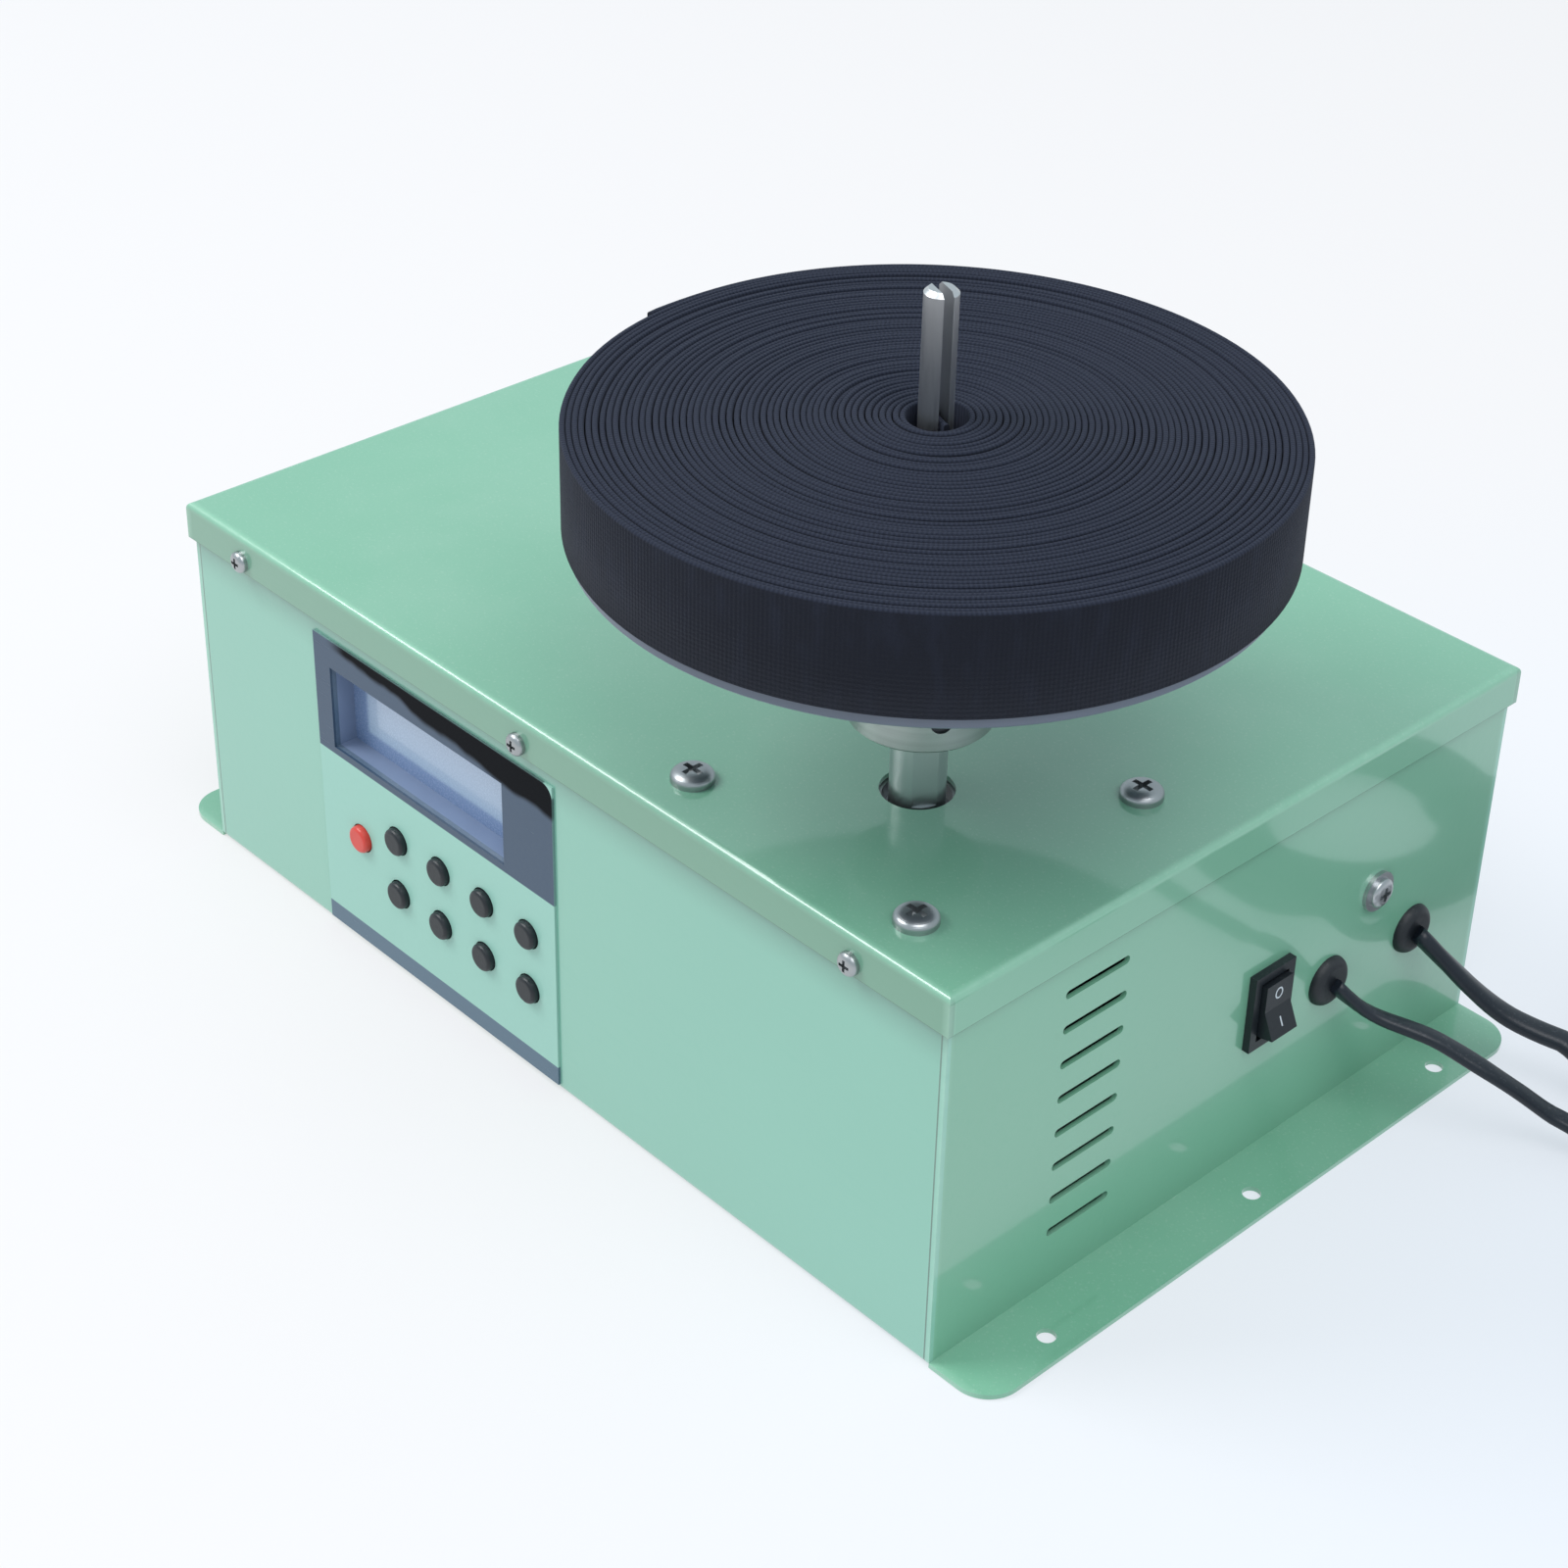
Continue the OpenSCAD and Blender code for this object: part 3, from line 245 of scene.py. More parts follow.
def wound_tape(finish):
    """Tape standing on edge: a strip with softly rounded edges carried along the wound line.

    The height of the upper edge wanders from turn to turn, so that the face of the roll isn't level."""
    rng = np.random.default_rng(11)
    radius, angle = tape_line(rng)
    turn = angle / (2 * np.pi)
    drop = np.interp(turn * 2.7, np.arange(200), rng.uniform(0, 1, 200) ** 2) * 0.55
    drop += np.interp(turn * 9.1, np.arange(600), rng.uniform(0, 0.16, 600))
    drop += 1.6 * np.clip((radius - 24) / 54, 0, 1) ** 0.8
    sway = 0.10 * np.sin(3 * angle + 1.3) * np.clip(radius / 40, 0, 1)
    facing = angle + np.radians(SLOT_ANGLE)
    line = np.stack([(radius + sway) * np.cos(facing), (radius + sway) * np.sin(facing)], 1)
    low = np.full(len(line), TAPE_LOW)

    # The inner end: straight through the slot, then bent round into the first turn
    s = np.linspace(0, 1, 22)[:-1]
    tail_radius = -TAIL_RADIUS + (TAPE_INNER + TAIL_RADIUS) * s
    slot = np.radians(SLOT_ANGLE)
    tail = np.stack([tail_radius * np.cos(slot), tail_radius * np.sin(slot)], 1)
    bend = np.clip((tail_radius - TAIL_RADIUS) / (TAPE_INNER - TAIL_RADIUS), 0, 1) ** 2
    first = line[0] + (line[0] - line[2]) * 0.6
    tail += (first - tail) * bend[:, None]
    line = np.vstack([tail, line])
    low = np.append(np.where(tail_radius < TAIL_RADIUS, TAPE_LOW + 3.7, TAPE_LOW), low)
    drop = np.append(np.full(len(tail), drop[0]), drop)

    along = np.gradient(line, axis=0)
    along /= np.linalg.norm(along, axis=1)[:, None]
    out = np.stack([along[:, 1], -along[:, 0]], 1)
    top = TAPE_HIGH - drop
    half = TAPE_THICK / 2
    section = [(-half, 0.0, 0.0), (half, 0.0, 0.0), (half, 0.5, 0.0), (half, 1.0, -0.42), (0.72 * half, 1.0, -0.10),
               (0.25 * half, 1.0, 0.0), (-0.25 * half, 1.0, 0.0), (-0.72 * half, 1.0, -0.10), (-half, 1.0, -0.42)]
    rings = np.stack([
        np.stack([line[:, 0] + out[:, 0] * off + SPINDLE[0], line[:, 1] + out[:, 1] * off + SPINDLE[1],
                  low + (top - low) * share + lift], 1)
        for off, share, lift in section], 1) * MM
    run = np.append(0, np.cumsum(np.linalg.norm(np.diff(line, axis=0), axis=1))) * MM
    around = np.array([-1.2, 0.0, 12.4, 24.4, 24.7, 24.9, 25.3, 25.6, 25.8]) * MM
    piece = sweep("wound_tape", rings, "tape_roll", finish, (run, around))
    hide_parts("tape_roll")
    return piece


# ---- marks on the switch ----

ROCKER_AXIS = (133.7, 12.0, 44.5)
ROCKER_VALLEY, ROCKER_RISE, ROCKER_HALF = 3.5, 1.5, 7.0


def rocker_mark(name, outline, width, up, endless, finish):
    """Low painted line on one face of the rocker, swept along an outline (across, up) about a height on it."""
    outline = np.asarray(outline, float)
    sign = np.sign(up)
    slope = np.arctan2(ROCKER_RISE, ROCKER_HALF) * sign
    tilt = np.radians(-12.0)
    ahead = np.gradient(outline, axis=0)
    if endless:
        ahead = np.roll(outline, -1, axis=0) - np.roll(outline, 1, axis=0)
    ahead /= np.linalg.norm(ahead, axis=1)[:, None]
    beside = np.stack([ahead[:, 1], -ahead[:, 0]], 1)
    rings = []
    for off, lift in ((-0.5, -0.02), (-0.36, 0.05), (0.36, 0.05), (0.5, -0.02)):
        flat = outline + beside * off * width
        height = up + flat[:, 1]
        face_x = ROCKER_VALLEY + ROCKER_RISE * np.abs(height) / ROCKER_HALF + lift * np.cos(slope)
        face_z = height - lift * np.sin(slope)
        x = face_x * np.cos(tilt) + face_z * np.sin(tilt)
        z = -face_x * np.sin(tilt) + face_z * np.cos(tilt)
        rings.append(np.stack([ROCKER_AXIS[0] + x, ROCKER_AXIS[1] + flat[:, 0], ROCKER_AXIS[2] + z], 1))
    return sweep(name, np.stack(rings, 1) * MM, "rocker", finish, endless=endless)


# ---- shader helpers ----

def put(tree, kind, inputs=None, **settings):
    """Adds a node to a shader tree: inputs are plain values, or sockets that are joined to it."""
    node = tree.nodes.new(kind)
    for key, value in settings.items():
        setattr(node, key, value)
    for key, value in (inputs or {}).items():
        if isinstance(value, bpy.types.NodeSocket):
            tree.links.new(value, node.inputs[key])
        else:
            node.inputs[key].default_value = value
    return node


def object_place(tree):
    """Position on the piece, in metres from the origin."""
    return put(tree, "ShaderNodeTexCoord").outputs["Object"]


def split(tree, vector):
    """The three parts of a vector."""
    return put(tree, "ShaderNodeSeparateXYZ", {0: vector}).outputs


def calc(tree, step, *values, clamp=False):
    """One step of arithmetic on sockets or numbers."""
    node = put(tree, "ShaderNodeMath", dict(enumerate(values)), operation=step, use_clamp=clamp)
    return node.outputs[0]


def fade(tree, value, start, end):
    """0 where the value is at start, 1 at end, and smooth between."""
    return put(tree, "ShaderNodeMapRange", {"Value": value, "From Min": start, "From Max": end},
               interpolation_type="SMOOTHSTEP").outputs["Result"]


def tinted(tree, mask, first, second):
    """First colour where the mask is 0, second where it is 1."""
    node = put(tree, "ShaderNodeMix", {0: mask, 6: first, 7: second}, data_type="RGBA")
    return node.outputs[2]


def noise(tree, scale, detail=2.0, where=None, rough=0.55):
    """Cloudy values from 0 to 1, scale waves to the metre."""
    where = where or object_place(tree)
    return put(tree, "ShaderNodeTexNoise", {"Vector": where, "Scale": scale, "Detail": detail,
                                            "Roughness": rough}).outputs[0]


def shared_effect(name, inputs, results, make):
    """Node group with named inputs and results; make(tree, inputs) returns the result sockets in order."""
    tree = bpy.data.node_groups.new(name, "ShaderNodeTree")
    for key, (kind, value) in inputs.items():
        tree.interface.new_socket(name=key, in_out="INPUT", socket_type=kind).default_value = value
    for key in results:
        tree.interface.new_socket(name=key, in_out="OUTPUT", socket_type="NodeSocketFloat")
    taken = tree.nodes.new("NodeGroupInput").outputs
    given = tree.nodes.new("NodeGroupOutput").inputs
    for key, socket in zip(results, make(tree, taken)):
        tree.links.new(socket, given[key])
    return tree


def use(tree, effect, **inputs):
    """Places a shared effect in a material with its own values."""
    node = put(tree, "ShaderNodeGroup", node_tree=effect)
    for key, value in inputs.items():
        socket = node.inputs[key]
        if isinstance(value, bpy.types.NodeSocket):
            tree.links.new(value, socket)
        else:
            socket.default_value = value
    return node.outputs


NUMBER, VECTOR = "NodeSocketFloat", "NodeSocketVector"


def make_edge_highlight(tree, given):
    """Near an edge of a box, two of the distances to its faces are small, so the middle one of the three says
    how near. Cloudy noise breaks the line up. The mask places a painted highlight along the edges."""
    where = split(tree, object_place(tree))
    half = split(tree, given["Half Size"])
    a = calc(tree, "SUBTRACT", half[0], calc(tree, "ABSOLUTE", where[0]))
    b = calc(tree, "SUBTRACT", half[1], calc(tree, "ABSOLUTE", where[1]))
    c = calc(tree, "SUBTRACT", half[2], where[2])
    middle = calc(tree, "MAXIMUM", calc(tree, "MINIMUM", a, b),
                  calc(tree, "MINIMUM", calc(tree, "MAXIMUM", a, b), c))
    near = calc(tree, "SUBTRACT", 1.0, calc(tree, "DIVIDE", middle, given["Reach"]), clamp=True)
    broken = calc(tree, "MULTIPLY_ADD", noise(tree, 260.0, 3.0), 0.9, 0.35)
    return [calc(tree, "MULTIPLY", calc(tree, "MULTIPLY", near, broken), given["Amount"], clamp=True)]


def make_dust(tree, given):
    """Dust lies on faces that look up, thicker in cloudy patches and in fine specks."""
    facing = split(tree, put(tree, "ShaderNodeNewGeometry").outputs["Normal"])[2]
    lying = fade(tree, facing, 0.3, 0.95)
    patches = fade(tree, noise(tree, 22.0, 4.0), 0.35, 0.75)
    specks = fade(tree, noise(tree, 1400.0, 1.0), 0.60, 0.72)
    film = calc(tree, "MULTIPLY_ADD", specks, 0.7, calc(tree, "MULTIPLY", patches, 0.5))
    return [calc(tree, "MULTIPLY", calc(tree, "MULTIPLY", lying, film), given["Amount"], clamp=True)]


def make_rubbed(tree, given):
    """Faint wipe marks: noise stretched along one direction, and kept only where it peaks."""
    where = object_place(tree)
    drawn = put(tree, "ShaderNodeMapping", {"Vector": where, "Rotation": (0.3, 0.2, 0.6),
                                            "Scale": (1.0, 9.0, 9.0)}).outputs[0]
    fine = fade(tree, noise(tree, given["Scale"], 5.0, drawn, 0.65), 0.52, 0.70)
    clouds = fade(tree, noise(tree, 9.0, 2.0), 0.35, 0.65)
    return [calc(tree, "MULTIPLY", calc(tree, "MULTIPLY", fine, clouds), given["Amount"])]


def make_turned(tree, given):
    """Lathe lines about an upright axis: one noise along the distance from the axis, one along the height."""
    apart = put(tree, "ShaderNodeVectorMath", {0: object_place(tree), 1: given["Axis"]},
                operation="SUBTRACT").outputs[0]
    flat = put(tree, "ShaderNodeVectorMath", {0: apart, 1: (1.0, 1.0, 0.0)}, operation="MULTIPLY").outputs[0]
    far = put(tree, "ShaderNodeVectorMath", {0: flat}, operation="LENGTH").outputs["Value"]
    height = split(tree, apart)[2]
    place = calc(tree, "MULTIPLY", calc(tree, "ADD", far, height), given["Lines"])
    line = put(tree, "ShaderNodeTexNoise", {"W": place, "Scale": 1.0, "Detail": 3.0},
               noise_dimensions="1D").outputs[0]
    broad = put(tree, "ShaderNodeTexNoise", {"W": calc(tree, "MULTIPLY", place, 0.12), "Scale": 1.0},
                noise_dimensions="1D").outputs[0]
    return [line, broad]


def make_grain(tree, given):
    """Fine even grain of a moulded or cast skin, with a slow change of shade."""
    return [noise(tree, given["Scale"], 3.0, rough=0.6), noise(tree, 60.0, 3.0)]


def make_brushed(tree, given):
    """Streaks along Z: noise whose height is squeezed."""
    where = object_place(tree)
    drawn = put(tree, "ShaderNodeMapping", {"Vector": where, "Scale": (1.0, 1.0, 0.02)}).outputs[0]
    return [noise(tree, given["Lines"], 3.0, drawn), noise(tree, 90.0, 2.0, drawn)]


edge_highlight = shared_effect("edge_highlight", {"Half Size": (VECTOR, (0.1, 0.1, 0.1)), "Reach": (NUMBER, 0.003),
                                        "Amount": (NUMBER, 0.5)}, ["Mask"], make_edge_highlight)
dust_film = shared_effect("dust_film", {"Amount": (NUMBER, 0.3)}, ["Mask"], make_dust)
rubbed_marks = shared_effect("rubbed_marks", {"Scale": (NUMBER, 60.0), "Amount": (NUMBER, 0.3)}, ["Mask"],
                             make_rubbed)
turned_lines = shared_effect("turned_lines", {"Axis": (VECTOR, (0.0772, -0.048, 0.0)), "Lines": (NUMBER, 9000.0)},
                             ["Height", "Shade"], make_turned)
skin_grain = shared_effect("skin_grain", {"Scale": (NUMBER, 1500.0)}, ["Height", "Shade"], make_grain)
brushed_lines = shared_effect("brushed_lines", {"Lines": (NUMBER, 3000.0)}, ["Height", "Shade"], make_brushed)


def finish_named(name, **plain):
    """New material and its main shader, with values that are the same all over set on the shader itself."""
    material = bpy.data.materials.new(name)
    material.use_nodes = True
    tree = material.node_tree
    shader = tree.nodes["Principled BSDF"]
    for key, value in plain.items():
        shader.inputs[key.replace("_", " ").title().replace("Ior", "IOR")].default_value = value
    return material, tree, shader


def feed(tree, shader, colour=None, rough=None, height=None, depth=0.0001, strength=0.5, coat=None):
    """Joins a material's colour, roughness and relief to its shader."""
    if colour is not None:
        tree.links.new(colour, shader.inputs["Base Color"])
    if rough is not None:
        tree.links.new(rough, shader.inputs["Roughness"])
    if coat is not None:
        tree.links.new(coat, shader.inputs["Coat Weight"])
    if height is not None:
        bump = put(tree, "ShaderNodeBump", {"Height": height, "Distance": depth, "Strength": strength})
        tree.links.new(bump.outputs[0], shader.inputs["Normal"])


def shade(rgb, by=1.0):
    """Colour with its fourth value."""
    return (rgb[0] * by, rgb[1] * by, rgb[2] * by, 1.0)


# ---- finishes ----

GREEN = (0.178, 0.425, 0.285)


def case_enamel(name, half, shade_heights, rgb=GREEN):
    """Green enamel sprayed on sheet steel: faint orange peel, thin paler edges of painted highlight, wiped marks
    and a little dust.

    The cut edges of the display opening carry the slate of the window field. On the front and the back a painted
    shade darkens the tone over shade_heights, two heights: on the lid's lip and on the wall just under it. A thin
    dark line of painted shade lies in the gap under the lid's edge, and a dark seam line lies beside each corner."""
    material, tree, shader = finish_named(name, coat_weight=1.0, coat_roughness=0.07, specular_ior_level=0.5)
    slow = noise(tree, 14.0, 2.0)
    colour = tinted(tree, slow, shade(rgb, 0.965), shade(rgb, 1.035))
    where = split(tree, object_place(tree))
    front = calc(tree, "GREATER_THAN", calc(tree, "ABSOLUTE", where[1]), 0.0945)
    # Painted shade: on the front and the back, the lid's lip and the wall just under it are darker.
    painted_shade_band = calc(tree, "MULTIPLY", fade(tree, where[2], *shade_heights), front)
    colour = tinted(tree, painted_shade_band, colour, shade(rgb, 0.74))
    # Painted shade: a thin dark line in the gap under the lid's edge. Beside each corner lies a dark seam line.
    gap_shade_line = calc(tree, "LESS_THAN", calc(tree, "ABSOLUTE", calc(tree, "SUBTRACT", where[2], 0.0912)), 0.0004)
    from_corner = calc(tree, "ABSOLUTE", calc(tree, "SUBTRACT", calc(tree, "ABSOLUTE", where[0]), 0.1322))
    seam = calc(tree, "MULTIPLY", calc(tree, "LESS_THAN", from_corner, 0.00022), front)
    seam = calc(tree, "MULTIPLY", seam, calc(tree, "LESS_THAN", where[2], 0.0914))
    colour = tinted(tree, calc(tree, "MAXIMUM", gap_shade_line, seam), colour, shade(rgb, 0.32))
    # Painted highlight: thin paler lines along the edges and folds of the case.
    edge_highlight_mask = use(tree, edge_highlight, **{"Half Size": half, "Reach": 0.0022, "Amount": 0.30})["Mask"]
    across = calc(tree, "ABSOLUTE", calc(tree, "SUBTRACT", where[0], -0.0435))
    up = calc(tree, "ABSOLUTE", calc(tree, "SUBTRACT", where[2], 0.0680))
    in_front = calc(tree, "LESS_THAN", where[1], -0.09)
    cut = calc(tree, "MULTIPLY", calc(tree, "LESS_THAN", across, 0.0336), calc(tree, "LESS_THAN", up, 0.0116))
    colour = tinted(tree, calc(tree, "MULTIPLY", cut, in_front), colour, shade((0.075, 0.125, 0.190)))
    colour = tinted(tree, edge_highlight_mask, colour, shade((0.50, 0.78, 0.62)))
    dust = use(tree, dust_film, Amount=0.10)["Mask"]
    colour = tinted(tree, dust, colour, shade((0.78, 0.80, 0.78)))
    rubbed = use(tree, rubbed_marks, Scale=55.0, Amount=0.10)["Mask"]
    rough = calc(tree, "ADD", calc(tree, "MULTIPLY_ADD", dust, 0.4, 0.31), rubbed)
    fine = calc(tree, "MULTIPLY", noise(tree, 1300.0, 1.0), 0.2)
    peel = calc(tree, "MULTIPLY_ADD", noise(tree, 420.0, 1.0), 0.8, fine)
    feed(tree, shader, colour, rough, peel, 0.00006, 0.6)
    return material


def plain_metal(name, rgb, rough, spots=0.3, grain=900.0):
    """Plated or cast metal: cloudy roughness, fine grain, and a slightly darker tone in patches."""
    material, tree, shader = finish_named(name, metallic=1.0)
    skin = use(tree, skin_grain, Scale=grain)
    patches = fade(tree, skin["Shade"], 0.35, 0.7)
    colour = tinted(tree, patches, shade(rgb, 1.0 - 0.35 * spots), shade(rgb, 1.0 + 0.08 * spots))
    roughness = calc(tree, "MULTIPLY_ADD", patches, -0.10, rough + 0.05)
    feed(tree, shader, colour, roughness, skin["Height"], 0.00004, 0.35)
    return material


def turned_metal(name, rgb, rough, lines, axis=(0.0772, -0.048, 0.0), deep=0.5):
    """Metal turned on a lathe: fine lines round the spindle that shift its tone and its gloss."""
    material, tree, shader = finish_named(name, metallic=1.0)
    cut = use(tree, turned_lines, Axis=axis, Lines=lines)
    colour = tinted(tree, cut["Shade"], shade(rgb, 0.82), shade(rgb, 1.08))
    roughness = calc(tree, "MULTIPLY_ADD", cut["Height"], 0.16, rough - 0.08)
    feed(tree, shader, colour, roughness, cut["Height"], 0.00005, deep)
    return material


def drawn_metal(name, rgb, rough, lines=3000.0):
    """Drawn or ground bar: streaks along its length."""
    material, tree, shader = finish_named(name, metallic=1.0)
    drawn = use(tree, brushed_lines, Lines=lines)
    colour = tinted(tree, drawn["Shade"], shade(rgb, 0.88), shade(rgb, 1.06))
    roughness = calc(tree, "MULTIPLY_ADD", drawn["Height"], 0.22, rough - 0.08)
    feed(tree, shader, colour, roughness, drawn["Height"], 0.00004, 0.5)
    return material


def moulded(name, rgb, rough, grain=1500.0, depth=0.00005, dust=0.08, coat=0.0):
    """Moulded plastic or rubber: fine skin grain, a slow change of tone, and dust on what looks up."""
    material, tree, shader = finish_named(name, coat_weight=coat, coat_roughness=0.2)
    skin = use(tree, skin_grain, Scale=grain)
    colour = tinted(tree, skin["Shade"], shade(rgb, 0.86), shade(rgb, 1.14))
    film = use(tree, dust_film, Amount=dust)["Mask"]
    colour = tinted(tree, film, colour, shade((0.45, 0.46, 0.47)))
    roughness = calc(tree, "ADD", calc(tree, "MULTIPLY_ADD", skin["Height"], 0.12, rough - 0.06), film)
    feed(tree, shader, colour, roughness, skin["Height"], depth, 0.5)
    return material


def panel_film():
    """Printed film of the front: a slate window field with a round corner, the case green, and a slate foot.

    The window field's upper edge carries a soft black band of painted reflection that deepens to the right."""
    material, tree, shader = finish_named("panel_film", coat_roughness=0.05)
    where = split(tree, object_place(tree))
    x, z = where[0], where[2]
    above = fade(tree, z, 0.0544, 0.0547)
    foot = fade(tree, z, 0.0072, 0.0069)
    dx = calc(tree, "MAXIMUM", calc(tree, "SUBTRACT", x, 0.0050), 0.0)
    dz = calc(tree, "MAXIMUM", calc(tree, "SUBTRACT", z, 0.0840), 0.0)
    corner = calc(tree, "SQRT", calc(tree, "ADD", calc(tree, "MULTIPLY", dx, dx), calc(tree, "MULTIPLY", dz, dz)))
    window = calc(tree, "MULTIPLY", above, fade(tree, corner, 0.0036, 0.0034))
    slate = calc(tree, "MAXIMUM", window, foot)
    # Painted reflection: a soft black band along the window field's upper edge, deeper to the right, with less gloss.
    reach = put(tree, "ShaderNodeMapRange", {"Value": x, "From Min": -0.080, "From Max": -0.006, "To Min": 0.0005,
                                             "To Max": 0.0085}).outputs[0]
    wander = calc(tree, "MULTIPLY_ADD", noise(tree, 70.0, 2.0), 0.004, -0.002)
    depth = calc(tree, "ADD", calc(tree, "SUBTRACT", 0.0875, z), wander)
    painted_reflection_band = calc(tree, "SUBTRACT", 1.0, fade(tree, calc(tree, "SUBTRACT", depth, reach), -0.0008, 0.0012))
    painted_reflection_band = calc(tree, "MULTIPLY", calc(tree, "MULTIPLY", painted_reflection_band, window), fade(tree, x, -0.079, -0.070))
    speckle = noise(tree, 900.0, 2.0)
    green = tinted(tree, speckle, shade((0.300, 0.545, 0.460)), shade((0.315, 0.565, 0.480)))
    blue = tinted(tree, speckle, shade((0.040, 0.072, 0.120)), shade((0.046, 0.080, 0.130)))
    blue = tinted(tree, foot, blue, shade((0.085, 0.145, 0.200)))
    colour = tinted(tree, slate, green, blue)
    colour = tinted(tree, painted_reflection_band, colour, shade((0.003, 0.004, 0.006)))
    tree.links.new(calc(tree, "MULTIPLY_ADD", painted_reflection_band, -0.27, 0.30), shader.inputs["Specular IOR Level"])
    tree.links.new(calc(tree, "MULTIPLY_ADD", painted_reflection_band, -0.10, 0.10), shader.inputs["Coat Weight"])
    rubbed = use(tree, rubbed_marks, Scale=90.0, Amount=0.12)["Mask"]
    rough = calc(tree, "ADD", calc(tree, "MULTIPLY_ADD", slate, -0.10, 0.30), rubbed)
    feed(tree, shader, colour, rough, speckle, 0.00001, 0.3)
    return material


def display_glass():
    """Pale unlit liquid crystal behind clear glass: a lighter field inside a bluer border."""
    material, tree, shader = finish_named("display_glass", coat_weight=0.6, coat_roughness=0.03)
    where = split(tree, object_place(tree))
    left = fade(tree, where[0], -0.0725, -0.0705)
    low = fade(tree, where[2], 0.0600, 0.0615)
    field = calc(tree, "MULTIPLY", left, low)
    rise = fade(tree, where[2], 0.0565, 0.0815)
    cells = noise(tree, 2600.0, 0.0)
    inner = tinted(tree, rise, shade((0.330, 0.440, 0.580)), shade((0.430, 0.520, 0.670)))
    colour = tinted(tree, field, shade((0.175, 0.255, 0.430)), inner)
    colour = tinted(tree, calc(tree, "MULTIPLY", cells, 0.05), colour, shade((0.2, 0.28, 0.36)))
    feed(tree, shader, colour, calc(tree, "MULTIPLY_ADD", cells, 0.06, 0.24), cells, 0.00001, 0.2)
    return material


def woven_tape():
    """Black-navy woven tape: fine ribs across its width, a napped face, and a paler rim along its upper edge.

    The map's first value runs along the tape and its second round it, both in metres."""
    material, tree, shader = finish_named("woven_tape", sheen_weight=0.08, sheen_roughness=0.45,
                                          specular_ior_level=0.25)
    shader.inputs["Sheen Tint"].default_value = (0.42, 0.47, 0.62, 1.0)
    run = put(tree, "ShaderNodeUVMap", uv_map="run").outputs[0]
    place = split(tree, run)
    ribs = calc(tree, "SINE", calc(tree, "MULTIPLY", place[0], 2 * np.pi / 0.00095))
    courses = calc(tree, "SINE", calc(tree, "MULTIPLY", place[1], 2 * np.pi / 0.0011))
    nap = noise(tree, 2400.0, 3.0, run, 0.7)
    squeezed = put(tree, "ShaderNodeMapping", {"Vector": run, "Scale": (1.0, 0.25, 1.0)}).outputs[0]
    slubs = noise(tree, 260.0, 3.0, squeezed)
    height = calc(tree, "ADD", calc(tree, "MULTIPLY_ADD", ribs, 0.20, nap), calc(tree, "MULTIPLY", courses, 0.12))
    edge = calc(tree, "MULTIPLY", fade(tree, place[1], 0.0241, 0.0246), fade(tree, place[1], 0.0262, 0.0257))
    body = tinted(tree, nap, shade((0.0032, 0.0042, 0.0085)), shade((0.0090, 0.0115, 0.0215)))
    body = tinted(tree, fade(tree, slubs, 0.45, 0.75), body, shade((0.0085, 0.0110, 0.0210)))
    threads = calc(tree, "MULTIPLY_ADD", ribs, 0.25, nap)
    rim = tinted(tree, threads, shade((0.0080, 0.0105, 0.0210)), shade((0.0230, 0.0285, 0.0490)))
    feed(tree, shader, tinted(tree, edge, body, rim), calc(tree, "MULTIPLY_ADD", nap, 0.15, 0.80), height, 0.00025, 0.8)
    return material


def cord_sheath():
    """Black sheath: smooth, with faint waves along the run and a wiped gloss."""
    material, tree, shader = finish_named("cord_sheath", coat_weight=0.10, coat_roughness=0.25,
                                          specular_ior_level=0.35)
    grain = use(tree, skin_grain, Scale=1800.0)
    waves = noise(tree, 110.0, 2.0)
    colour = tinted(tree, waves, shade((0.005, 0.009, 0.015)), shade((0.010, 0.016, 0.026)))
    film = use(tree, dust_film, Amount=0.12)["Mask"]
    colour = tinted(tree, film, colour, shade((0.30, 0.31, 0.33)))
    height = calc(tree, "MULTIPLY_ADD", grain["Height"], 0.3, waves)
    feed(tree, shader, colour, calc(tree, "MULTIPLY_ADD", grain["Shade"], 0.14, 0.33), height, 0.00008, 0.5)
    return material


def circuit_board():
    """Solder mask over copper: darker lacquer with paler tracks on a square grid, and tinned dots."""
    material, tree, shader = finish_named("circuit_board", coat_weight=0.5, coat_roughness=0.15)
    where = object_place(tree)
    tracks = put(tree, "ShaderNodeTexBrick", {
        "Vector": put(tree, "ShaderNodeMapping", {"Vector": where, "Rotation": (np.pi / 2, 0, 0)}).outputs[0],
        "Scale": 55.0, "Mortar Size": 0.05, "Bias": 0.0, "Color1": shade((0.010, 0.085, 0.035)),
        "Color2": shade((0.012, 0.110, 0.045)), "Mortar": shade((0.030, 0.210, 0.085))}).outputs[0]
    dots = put(tree, "ShaderNodeTexVoronoi", {"Vector": where, "Scale": 240.0}).outputs["Distance"]
    colour = tinted(tree, fade(tree, dots, 0.16, 0.12), tracks, shade((0.55, 0.52, 0.45)))
    feed(tree, shader, colour, calc(tree, "MULTIPLY_ADD", noise(tree, 400.0), 0.1, 0.3), dots, 0.00003, 0.3)
    return material


def laminations():
    """Stack of thin painted sheets: fine level lines up the side."""
    material, tree, shader = finish_named("laminations", metallic=0.6)
    height = split(tree, object_place(tree))[2]
    sheet = calc(tree, "SINE", calc(tree, "MULTIPLY", height, 2 * np.pi / 0.001))
    clouds = noise(tree, 120.0, 3.0)
    colour = tinted(tree, clouds, shade((0.016, 0.017, 0.020)), shade((0.045, 0.047, 0.052)))
    feed(tree, shader, colour, calc(tree, "MULTIPLY_ADD", clouds, 0.2, 0.4), sheet, 0.0001, 0.7)
    return material


